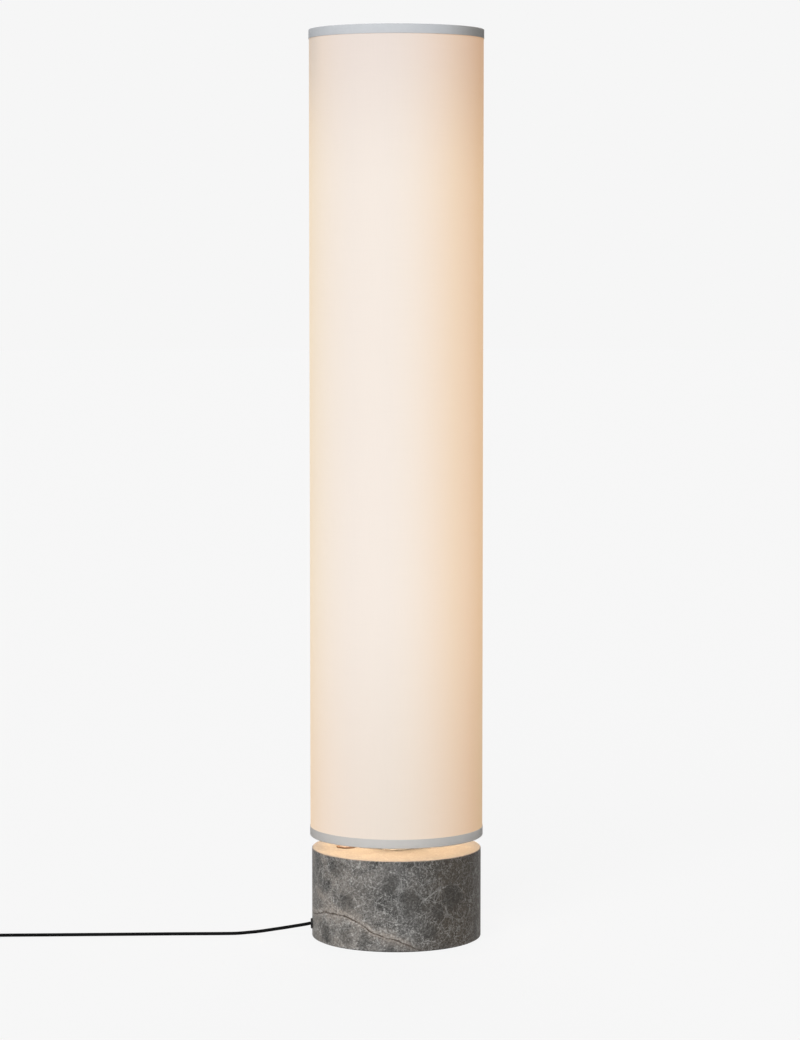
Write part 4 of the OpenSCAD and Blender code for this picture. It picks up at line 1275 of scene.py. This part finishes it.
@dataclass
class PowerCord:
    """The cord from the stone's outlet along the floor, its coil, its tie and its plug."""

    diameter: float = 0.0045
    exit: Point = (-0.1145, 0.0, 0.0178)
    coil_centre: tuple[float, float] = (-0.605, -0.0055)
    coil_inner: float = 0.0195
    pitch: float = 0.005
    layers: int = 4
    turns_per_layer: float = 2.8125
    rings_per_turn: int = 48
    tie_thickness: float = 0.0008
    plug_neck: Point = (-0.640, -0.092, 0.00685)
    plug_width: float = 0.0352
    plug_thickness: float = 0.0137

    def _coil_point(self, turn: float) -> Vector:
        """Gives the coil's centre line after a number of turns.

        Args:
            turn: Turns from the coil's start.

        Returns:
            The point; odd layers wind outward and lie one pitch higher than the last.
        """
        outer = self.coil_inner + self.turns_per_layer * self.pitch
        layer = min(int(turn / self.turns_per_layer), self.layers - 1)
        share = turn / self.turns_per_layer - layer
        span = outer - self.coil_inner
        radius = outer - share * span if layer % 2 == 0 else self.coil_inner + share * span
        height = self.tie_thickness + 0.0001 + self.diameter / 2
        for reversal in range(1, self.layers):
            t = min(max((turn - reversal * self.turns_per_layer) / 0.5 + 0.5, 0.0), 1.0)
            height += self.pitch * t * t * (3 - 2 * t)
        angle = math.radians(90 + 360 * turn)
        return Vector((self.coil_centre[0] + radius * math.cos(angle),
                       self.coil_centre[1] + radius * math.sin(angle), height))

    def path(self) -> list[Vector]:
        """Gives the whole centre line, from the outlet to the plug."""
        count = round(self.layers * self.turns_per_layer * self.rings_per_turn)
        winding = [self._coil_point(i / self.rings_per_turn) for i in range(count + 1)]
        into = (winding[1] - winding[0]).normalized()
        out = (winding[-1] - winding[-2]).normalized()
        entry, leave = winding[0] - self.diameter * into, winding[-1] + self.diameter * out
        lead = [(-0.1155, 0, 0.0178), (-0.119, 0.0003, 0.017), (-0.126, 0.001, 0.0157),
                (-0.134, 0.0025, 0.0142), (-0.150, 0.005, 0.0113), (-0.166, 0.0075, 0.0086),
                (-0.182, 0.0095, 0.0061), (-0.198, 0.012, 0.0042), (-0.214, 0.014, 0.0028),
                (-0.236, 0.016, 0.0024), (-0.262, 0.0175, 0.00235), (-0.300, 0.0195, 0.00235),
                (-0.342, 0.021, 0.00235), (-0.395, 0.023, 0.00235), (-0.448, 0.025, 0.00235),
                (-0.500, 0.027, 0.0024), (-0.550, 0.0282, 0.0026)]
        lead = [Vector(p) for p in lead] + [entry - 0.008 * into, entry - 0.001 * into]
        neck = Vector(self.plug_neck)
        tail = [leave + 0.001 * out, leave + 0.005 * out, Vector((-0.6395, -0.028, 0.0165)),
                Vector((-0.640, -0.042, 0.0135)), Vector((-0.640, -0.056, 0.010)),
                Vector((-0.640, -0.070, 0.0076)), neck + Vector((0, 0.010, 0)),
                neck + Vector((0, 0.001, 0))]
        return ([Vector(self.exit)] + self._smooth(lead, 4) + [entry] + winding + [leave]
                + self._smooth(tail, 4) + [neck])

    @staticmethod
    def _smooth(route: list[Vector], steps: int) -> list[Vector]:
        """Adds points of a smooth curve between those of a route.

        Args:
            route: The points that the curve runs through.
            steps: Pieces in each stretch.

        Returns:
            The curve's points, with the route's own among them.
        """
        last = len(route) - 1
        curve = []
        for i in range(last):
            a, b = route[max(i - 1, 0)], route[i]
            c, d = route[i + 1], route[min(i + 2, last)]
            for k in range(steps):
                t = k / steps
                curve.append(0.5 * (2 * b + (c - a) * t + (2 * a - 5 * b + 4 * c - d) * t * t
                                    + (3 * b - a - 3 * c + d) * t ** 3))
        return curve + [route[last]]

    def _plug_ring(self, along: float, width: float, thickness: float,
                   power: float) -> list[Vector]:
        """Gives one section of the plug.

        Args:
            along: Distance from the neck.
            width: Half of the section's width.
            thickness: Half of its thickness.
            power: 2 for an ellipse, more for a squarer section.

        Returns:
            The section's points.
        """
        ring = []
        for k in range(48):
            c, s = math.cos(math.pi * k / 24), math.sin(math.pi * k / 24)
            ring.append(Vector(self.plug_neck) + Vector((
                width * math.copysign(abs(c) ** (2 / power), c), -along,
                thickness * math.copysign(abs(s) ** (2 / power), s))))
        return ring

    def _plug(self) -> bpy.types.Object:
        """Builds the plug's moulded body, its ribbed relief and the sleeves of its pins."""
        half, thick = self.plug_width / 2, self.plug_thickness / 2
        shape = [(0.0095, 0.0052, 0.0042, 2.2), (0.0105, 0.0060, 0.0046, 2.4),
                 (0.0140, 0.0080, 0.0051, 2.8), (0.0200, 0.0118, 0.0064, 3.2),
                 (0.0270, 0.0158, thick - 0.0001, 3.6), (0.0310, half - 0.0003, thick, 3.8),
                 (0.0360, half, thick, 4.0), (0.0385, half - 0.0002, thick, 4.0),
                 (0.0425, half - 0.0026, thick, 4.0), (0.0450, half - 0.0042, thick - 0.0002, 4.0),
                 (0.0458, half - 0.0050, thick - 0.0008, 4.0), (0.0460, half - 0.0062, thick - 0.0018, 4.0)]
        body = lofted("plug_moulding", [self._plug_ring(*row) for row in shape])
        rings: list[list[Vector]] = []
        for i in range(23):
            along = 0.0005 * i
            radius = 0.0034 + 0.001 * along / 0.011
            if i % 5 in (3, 4) and 2 < i < 19:
                radius -= 0.0006
            rings.append(self._plug_ring(along, radius, radius, 2.0))
        relief = lofted("relief", rings)
        sleeves = []
        for side in (-1, 1):
            foot = Vector(self.plug_neck) + Vector((side * 0.0092, -0.0458, 0))
            sleeves.append(rod(foot, foot + Vector((0, -0.0102, 0)), 0.00195, 24))
        return joined(body, relief, *sleeves)

    def _pins(self) -> bpy.types.Object:
        """Builds the two round pins with rounded tips."""
        pins = []
        for side in (-1, 1):
            rings = [self._plug_ring(a, r, r, 2.0)
                     for a, r in ((0.0465, 0.0016), (0.0559, 0.0016), (0.0560, 0.0020),
                                  (0.0638, 0.0020), (0.0645, 0.0017), (0.0649, 0.0011), (0.0650, 0.0004))]
            shifted = [[p + Vector((side * 0.0092, 0, 0)) for p in ring] for ring in rings]
            pins.append(lofted("pin", shifted))
        pins[0].name = "plug_pins_fine"
        return joined(pins[0], pins[1])

    def build(self) -> None:
        path = self.path()
        cord = fit(smoothed(swept("power_cord", path, self.diameter / 2, 12), 50),
                   "cord_black", "cord_lead", "cord_coil", "cord_tail")
        tie = fit(cad_copy("cord_tie"), "black_plastic", "cord_tie")
        plug = fit(smoothed(self._plug(), 40), "black_plastic", "plug_body")
        pins = fit(smoothed(self._pins(), 40), "pin_metal", "plug_pins")
        length = sum((b - a).length for a, b in zip(path, path[1:]))
        log.info("power cord: %.3f m", length)


@dataclass
class StoneBase:
    """The drum of stone with its pocket, its felt ring and its cover plate."""

    radius: float = 0.1125
    bottom: float = 0.001
    top: float = 0.120
    edge: float = 0.0015
    pocket: float = 0.080
    pocket_top: float = 0.053
    recess: float = 0.097
    recess_top: float = 0.006
    felt_outer: float = 0.110
    felt_inner: float = 0.101
    felt_top: float = 0.0025
    button_x: float = -0.067
    outlet_z: float = 0.0178
    insert_circle: float = 0.0885

    def _stone(self) -> bpy.types.Object:
        """Turns the stone and cuts its bores."""
        outline = eased([
            (0.0055, self.top, 0.0004), (self.radius, self.top, self.edge),
            (self.radius, self.bottom, self.edge),
            (self.felt_outer + 0.0003, self.bottom, 0), (self.felt_outer + 0.0003, self.felt_top, 0),
            (self.felt_inner - 0.0003, self.felt_top, 0), (self.felt_inner - 0.0003, self.bottom, 0),
            (self.recess, self.bottom, 0), (self.recess, self.recess_top, 0),
            (self.pocket, self.recess_top, 0), (self.pocket, self.pocket_top, 0.0005),
            (0.0055, self.pocket_top, 0.0005),
        ], 6)
        stone = turned("stone_drum", outline, 240)
        x, z = self.button_x, self.outlet_z
        cutters = [rod((x, 0, 0.003), (x, 0, 0.104), 0.01897, 72),
                   rod((x, 0, 0.100), (x, 0, 0.125), 0.01115, 72),
                   rod((-0.118, 0, z), (x, 0, z), 0.00495, 48),
                   rod((-0.118, 0, z), (-0.112, 0, z), 0.0075, 72),
                   rod((-0.088, 0, z), (x, 0, z), 0.0095, 48)]
        for quarter in range(4):
            angle = math.radians(45 + 90 * quarter)
            spot = (self.insert_circle * math.cos(angle), self.insert_circle * math.sin(angle))
            cutters.append(rod((*spot, 0.003), (*spot, 0.0165), 0.00355, 32))
        return smoothed(without(stone, *cutters), 25)

    def _felt(self) -> bpy.types.Object:
        """Turns the felt ring with its soft lower edges."""
        return turned("felt_ring_fine", eased([
            (self.felt_inner, self.felt_top, 0.0001), (self.felt_outer, self.felt_top, 0.0001),
            (self.felt_outer, 0.0, 0.0006), (self.felt_inner, 0.0, 0.0006)], 4), 200)

    def build(self, copies: ShapeTree) -> None:
        """Builds the base's pieces.

        Args:
            copies: The tree that sets copies round the axis.
        """
        fit(self._stone(), "veined_stone", "stone_base")
        fit(smoothed(self._felt()), "felt", "felt_ring")
        fit(cad_copy("cover_plate"), "plate_steel", "cover_plate")
        screw = turned("cover_screws_fine", eased([
            (0, 0, 0), (0.0035, 0, 0.0001), (0.0035, -0.0018, 0.0004), (0, -0.0018, 0)], 4)
            [::-1], 40)
        socket = rod((0, 0, -0.0008), (0, 0, -0.003), 0.00175, 6)
        without(screw, socket)
        shank = turned("shank", [(0, 0.0105), (0.0016, 0.0105), (0.00195, 0.0100), (0.00195, -0.0001),
                                 (0, -0.0001)], 24)
        joined(screw, shank)
        copies.shape(screw, FINISHES["zinc_steel"], copies=4, radius=self.insert_circle,
                     start=math.radians(45), rows=1, height=0.004, pitch=0.0)
        fit(smoothed(screw), "zinc_steel", "cover_screws")


@dataclass
class PushButton:
    """The bezel in the stone's top, the cap that is pressed and the spring under the cap."""

    x: float = -0.067
    top: float = 0.120
    ledge: float = 0.0055
    pressed_share: float = 0.68

    def build(self) -> None:
        """Turns the bezel and the cap, and copies the spring with a mesh of its own."""
        z = self.top
        bezel = turned("button_bezel", eased([
            (0.0130, z, 0.0001), (0.0130, z + 0.0015, 0.0006), (0.0093, z + 0.0015, 0.0003),
            (0.0093, z - self.ledge, 0), (0.00326, z - self.ledge, 0), (0.00326, z - 0.0095, 0),
            (0.0092, z - 0.0095, 0), (0.0092, z - 0.022, 0.0002), (0.0110, z - 0.022, 0.0004),
            (0.0110, z, 0)], 5), 96, (self.x, 0.0, 0.0))
        fit(smoothed(bezel), "bezel_bronze", "switch_bezel")
        cap = turned("button_cap", eased([
            (0, z + 0.0023, 0), (0.0060, z + 0.00222, 0.004), (0.0090, z + 0.0020, 0.0005),
            (0.0090, z - 0.0017, 0.0003), (0.0032, z - 0.0017, 0), (0.0032, 0.1066, 0.0004),
            (0, 0.1066, 0)], 5), 96, (self.x, 0.0, 0.0))
        fit(smoothed(cap), "cap_bronze", "switch_cap", body=Body.BUTTON)
        spring = fit(cad_copy("switch_spring"), "zinc_steel", "switch_spring")
        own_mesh(spring)


@dataclass
class CordOutlet:
    """The flat bush that the cord leaves the stone through."""

    face_x: float = -0.1145
    z: float = 0.0178

    def build(self) -> None:
        """Turns the bush about the cord's own axis."""
        bush = turned("cord_bush_fine", eased([
            (0.0023, 0.0, 0.0005), (0.0070, 0.0, 0.0007), (0.0070, -0.0025, 0.0001),
            (0.0049, -0.0025, 0), (0.0049, -0.03247, 0.0004), (0.0023, -0.03247, 0)], 5),
            72, (self.face_x, 0.0, self.z), Axis.LEFT)
        fit(smoothed(bush), "black_plastic", "cord_bush")


@dataclass
class LightColumn:
    """The foot, the chips, the opal tube, the cap and the nut of the light column."""

    bottom: float = 0.120
    foot_top: float = 0.158
    tube_top: float = 1.167
    chip_rows: int = 16
    board_bottom: float = 0.183
    board_top: float = 1.160

    def _foot(self) -> bpy.types.Object:
        """Turns the spool-shaped foot with its coved neck."""
        z = self.bottom
        return turned("column_foot_fine", eased([
            (0.00505, z, 0), (0.0280, z, 0.0003), (0.0280, z + 0.008, 0.0010),
            (0.0140, z + 0.008, 0.0026), (0.0140, z + 0.032, 0.0026), (0.0370, z + 0.032, 0.0008),
            (0.0370, self.foot_top, 0.0008), (0.0276, self.foot_top, 0),
            (0.0276, self.foot_top + 0.003, 0.0004), (0.00505, self.foot_top + 0.003, 0)], 6), 120)

    def _finial(self) -> bpy.types.Object:
        """Builds the hand nut with its fluted band."""
        seat, sides = 1.178, 160
        rows = [(0.0000, 0.0086), (0.0003, 0.0090), (0.0017, 0.0090), (0.0020, 0.0092),
                (0.0024, 0.0098), (0.0030, 0.0100), (0.0090, 0.0100), (0.0097, 0.0098),
                (0.0104, 0.0094), (0.0118, 0.0085), (0.0130, 0.0069), (0.0137, 0.0052),
                (0.0140, 0.0030), (0.01405, 0.0002)]
        rings = []
        for up, radius in rows:
            depth = 0.0007 if 0.0028 < up < 0.0095 else 0.0
            ring = []
            for k in range(sides):
                angle = 2 * math.pi * k / sides
                flute = max(0.0, math.cos(20 * angle)) ** 2
                r = radius - depth * flute
                ring.append(Vector((r * math.cos(angle), r * math.sin(angle), seat + min(up, 0.014))))
            rings.append(ring)
        return lofted("finial_nut_fine", rings)

    def _chips(self, copies: ShapeTree) -> bpy.types.Object:
        """Sets the chips in rows on the four boards."""
        pitch = (self.board_top - self.board_bottom) / self.chip_rows
        face, size = 0.01855, 0.0015
        sections = [[Vector((out, w * size, h * size)) for w, h in ((-s, -s), (s, -s), (s, s), (-s, s))]
                    for out, s in ((0.0, 1.0), (0.0005, 1.0), (0.0007, 0.86))]
        chip = lofted("led_chips_fine", sections)
        return copies.shape(chip, FINISHES["led_yellow"], copies=4, radius=face, start=0.0,
                            rows=self.chip_rows, height=self.board_bottom + pitch / 2, pitch=pitch)

    def build(self, copies: ShapeTree) -> None:
        """Builds the column's pieces.

        Args:
            copies: The tree that sets copies round the axis.
        """
        fit(smoothed(self._foot()), "column_paint", "column_foot")
        tube = turned("opal_tube", eased([
            (0.0280, self.foot_top, 0), (0.0300, self.foot_top, 0.0003),
            (0.0300, self.tube_top, 0.0003), (0.0280, self.tube_top, 0)], 3), 120)
        fit(smoothed(tube), "opal", "diffuser_tube")
        fit(cad_copy("top_cap"), "column_paint", "top_cap")
        fit(cad_copy("top_stud"), "zinc_steel", "top_stud")
        fit(smoothed(self._finial(), 40), "column_paint", "finial_nut")
        fit(self._chips(copies), "led_yellow", "led_chips")


@dataclass
class Shade:
    """The cloth drum with its liner, its two rim tapes and its two wire spiders."""

    bottom: float = 0.137
    top: float = 1.200
    tape_outer: float = 0.115
    cloth_middle: float = 0.1142
    cloth_thickness: float = 0.0005
    tape_width: float = 0.012
    tape_thickness: float = 0.0005
    inner_leg: float = 0.007
    inner_radius: float = 0.1085
    lap: float = 0.012
    seam_azimuth: float = math.radians(90)

    def _cloth(self, wrapped: ShapeTree) -> bpy.types.Object:
        """Wraps the cloth so that its ends overlap at the back."""
        start = self.seam_azimuth - self.lap / 2 / self.cloth_middle
        cloth = add_piece("shade_cloth_drum", [(0, 0, 0)], [])
        wrapped.shape(cloth, FINISHES["shade_cloth"], radius=self.cloth_middle,
                      bottom=self.bottom + 0.00055, height=self.top - self.bottom - 0.0011,
                      lap=self.lap, step=self.cloth_thickness + 0.00003, start=start,
                      columns=361, rows=60, unevenness=0.0001)
        thick = cloth.modifiers.new("thickness", "SOLIDIFY")
        thick.thickness = self.cloth_thickness
        thick.offset = 0.0
        return settled(cloth)

    def _tape(self, name: str, rim: float, up: int) -> bpy.types.Object:
        """Folds a tape over a rim, with a lap where it passes the cloth's seam.

        Args:
            name: The piece's name.
            rim: The height of the rim.
            up: 1 for the top rim and -1 for the bottom one.

        Returns:
            The tape.
        """
        half = self.tape_thickness / 2
        outer, inner = self.tape_outer - half, self.inner_radius + half
        corners = [(outer, -self.tape_width, 0), (outer, -half, 0.0007), (inner, -half, 0.0007),
                   (inner, -self.inner_leg, 0)]
        fold = eased(corners, 4)
        run = [0.0]
        for a, b in zip(fold, fold[1:]):
            run.append(run[-1] + math.dist(a, b))
        columns = 360
        points, faces, uvs = [], [], []
        for k in range(columns):
            angle = 2 * math.pi * k / columns
            off = abs((angle - self.seam_azimuth + math.pi) % (2 * math.pi) - math.pi) * outer
            rise = 0.00045 * min(max((self.lap / 2 + 0.004 - off) / 0.003, 0.0), 1.0)
            for j, (r, z) in enumerate(fold):
                lift = rise if j < 5 else rise * 0.3
                r += lift if r > 0.1125 else 0.0
                points.append((r * math.cos(angle), r * math.sin(angle), rim + up * z))
        rows = len(fold)
        for k in range(columns):
            other = (k + 1) % columns
            for j in range(rows - 1):
                faces.append([k * rows + j, other * rows + j, other * rows + j + 1, k * rows + j + 1])
                a, b = k * outer * 2 * math.pi / columns, (k + 1) * outer * 2 * math.pi / columns
                uvs += [(a, run[j]), (b, run[j]), (b, run[j + 1]), (a, run[j + 1])]
        tape = add_piece(name, points, faces, uvs)
        if up < 0:
            tape.data.flip_normals()
        thick = tape.modifiers.new("thickness", "SOLIDIFY")
        thick.thickness = self.tape_thickness
        thick.offset = 0.0
        return settled(tape)

    def _spider(self, spiders: ShapeTree, name: str, hub: Outline,
                **sizes: float) -> bpy.types.Object:
        """Builds one wire spider round its turned hub."""
        piece = turned(name, hub, 96)
        return spiders.shape(piece, FINISHES["zinc_steel"], arms=3, start=math.radians(60),
                             wire=0.002, arm=0.00175, hoop=0.11105, **sizes)

    def build(self, wrapped: ShapeTree, spiders: ShapeTree) -> None:
        """Builds the shade's pieces.

        Args:
            wrapped: The tree that wraps a sheet into a drum.
            spiders: The tree that joins a hub, a hoop and arms.
        """
        cloth = fit(smoothed(self._cloth(wrapped), 40), "shade_cloth", "shade_fabric")
        tapes = [fit(smoothed(self._tape("top_tape_fine", self.top, 1), 50), "rim_tape", "top_tape"),
                 fit(smoothed(self._tape("bottom_tape_fine", self.bottom, -1), 50), "rim_tape",
                     "bottom_tape")]
        liner = turned("shade_liner_fine", [
            (0.1131, self.bottom + 0.00055), (0.1139, self.bottom + 0.00055),
            (0.1139, self.top - 0.00055), (0.1131, self.top - 0.00055)], 240)
        fit(smoothed(liner), "liner_white", "shade_liner")
        top_hub = eased([(0.0042, 1.173, 0), (0.0140, 1.173, 0.0004), (0.0140, 1.178, 0.0008),
                         (0.0042, 1.178, 0.0003)], 4)
        fit(smoothed(self._spider(spiders, "top_spider_fine", top_hub, hoop_height=1.19745,
                                  inner=0.0091, bend=0.030, bend_height=1.1755)),
            "zinc_steel", "top_spider")
        low_hub = eased([(0.0306, 0.158, 0.0003), (0.0365, 0.158, 0.0004), (0.0365, 0.163, 0.0008),
                         (0.0306, 0.163, 0.0004)], 4)
        fit(smoothed(self._spider(spiders, "bottom_spider_fine", low_hub, hoop_height=0.13955,
                                  inner=0.03355, bend=0.0445, bend_height=0.1605)),
            "zinc_steel", "bottom_spider")


def dress_solids() -> None:
    """Gives every solid of the frame that stays its slot's finish."""
    for row in frame["record"]["subparts"]:
        solid = frame["nodes"][row["node"]]
        material = FINISHES[row["material_slot"]].material()
        if not solid.material_slots:
            solid.data.materials.append(material)
        for slot in solid.material_slots:
            slot.material = material


# Studio


@dataclass
class Studio:
    """The camera, the pale floor and the soft light."""

    eye: Point = (-0.3291, -4.2508, 0.8930)
    heading: tuple[float, float] = (0.07831, 0.99692)
    down: float = 4.510
    lens: float = 111.82
    backdrop: float = 0.9216
    floor_share: float = 0.88
    key: float = 3.5
    back: float = 1.8
    sky: float = 0.20
    inner: float = 3.9
    inner_colour: Colour = (1.0, 0.71, 0.45)
    inner_size: float = 0.19
    inner_height: float = 0.36

    def _camera(self) -> None:
        """Sets the camera at the photograph's place."""
        camera = bpy.data.objects.new("camera", bpy.data.cameras.new("camera"))
        bpy.context.scene.collection.objects.link(camera)
        camera.data.sensor_width = 36.0
        camera.data.lens = self.lens
        camera.data.clip_end = 100.0
        tilt = math.radians(self.down)
        look = Vector((self.heading[0] * math.cos(tilt), self.heading[1] * math.cos(tilt),
                       -math.sin(tilt)))
        camera.location = self.eye
        camera.rotation_euler = look.to_track_quat("-Z", "Y").to_euler()
        bpy.context.scene.camera = camera

    def _sun(self, name: str, strength: float, colour: Colour, azimuth: float, height: float,
             softness: float) -> None:
        """Adds one soft light from far away.

        Args:
            name: The light's name.
            strength: Its strength.
            colour: Its colour.
            azimuth: Where it stands, in degrees from +X.
            height: How high it stands, in degrees.
            softness: Its apparent size, in degrees.
        """
        light = bpy.data.lights.new(name, "SUN")
        light.energy, light.color, light.angle = strength, colour, math.radians(softness)
        lamp = bpy.data.objects.new(name, light)
        bpy.context.scene.collection.objects.link(lamp)
        a, h = math.radians(azimuth), math.radians(height)
        way = Vector((math.cos(a) * math.cos(h), math.sin(a) * math.cos(h), math.sin(h)))
        lamp.rotation_euler = way.to_track_quat("Z", "Y").to_euler()

    def _column_light(self) -> None:
        """Adds the warm light that the column throws down through the shade."""
        light = bpy.data.lights.new("column_light", "AREA")
        light.shape, light.size = "DISK", self.inner_size
        light.energy, light.color = self.inner, self.inner_colour
        lamp = bpy.data.objects.new("column_light", light)
        lamp.location = (0.0, 0.0, self.inner_height)
        lamp.visible_camera = False
        lamp.visible_glossy = False
        bpy.context.scene.collection.objects.link(lamp)

    @staticmethod
    def _seen(graph: Graph) -> Signal:
        """Gives 1 for what the camera sees, also in gloss and through glass."""
        path = graph.node("ShaderNodeLightPath")
        camera, gloss, glass = (Signal(graph, path.outputs[name]) for name in (
            "Is Camera Ray", "Is Glossy Ray", "Is Transmission Ray"))
        return camera.larger(gloss).larger(glass)

    def _floor(self) -> None:
        """Lays the pale floor, which keeps a faint shadow."""
        sides, reach = 96, 30.0
        ring = [(reach * math.cos(2 * math.pi * k / sides), reach * math.sin(2 * math.pi * k / sides),
                 0.0) for k in range(sides)]
        floor = add_piece("floor", ring, [list(range(sides))])
        material = bpy.data.materials.new("pale_floor")
        material.use_nodes = True
        material.node_tree.nodes.clear()
        graph = Graph(material.node_tree)
        paper = graph.noise(graph.place(), 40.0, 2.0)
        matt = graph.node("ShaderNodeBsdfDiffuse", sockets={
            "Color": graph.dimmed((0.36, 0.36, 0.36), 0.98 + paper * 0.04)})
        plain = graph.node("ShaderNodeEmission", sockets={"Color": (1.0, 1.0, 1.0, 1.0)})
        both = graph.node("ShaderNodeMixShader", sockets={
            0: self._seen(graph) * self.floor_share, 1: matt.outputs[0], 2: plain.outputs[0]})
        graph.node("ShaderNodeOutputMaterial", sockets={"Surface": both.outputs[0]})
        floor.data.materials.append(material)

    def _sky(self) -> None:
        """Fills the surroundings: pale to the camera, soft light on the lamp."""
        world = bpy.data.worlds.new("studio")
        world.use_nodes = True
        world.node_tree.nodes.clear()
        graph = Graph(world.node_tree)
        soft = graph.node("ShaderNodeBackground",
                          sockets={"Color": (1, 1, 1, 1), "Strength": self.sky})
        plain = graph.node("ShaderNodeBackground", sockets={
            "Color": (self.backdrop,) * 3 + (1,), "Strength": 1.0})
        both = graph.node("ShaderNodeMixShader", sockets={
            0: self._seen(graph), 1: soft.outputs[0], 2: plain.outputs[0]})
        graph.node("ShaderNodeOutputWorld", sockets={"Surface": both.outputs[0]})
        bpy.context.scene.world = world

    def build(self) -> None:
        """Sets up the camera, the floor, the sky and the lights."""
        bpy.context.scene.view_settings.view_transform = "Standard"
        self._camera()
        self._floor()
        self._sky()
        self._sun("key_light", self.key, (0.99, 0.995, 1.0), -110.0, 34.0, 40.0)
        self._sun("back_light", self.back, (1.0, 0.99, 0.97), 85.6, 30.0, 50.0)
        self._column_light()


def main() -> None:
    """Builds the studio and then the lamp, piece by piece."""
    logging.basicConfig(level=logging.INFO, format="%(name)s: %(message)s", force=True)
    Studio().build()
    dress_solids()
    PowerCord().build()
    copies, wrapped, spiders = copies_tree(), wrapped_tree(), spider_tree()
    StoneBase().build(copies)
    PushButton().build()
    CordOutlet().build()
    LightColumn().build(copies)
    Shade().build(wrapped, spiders)


if __name__ == "__main__":
    main()
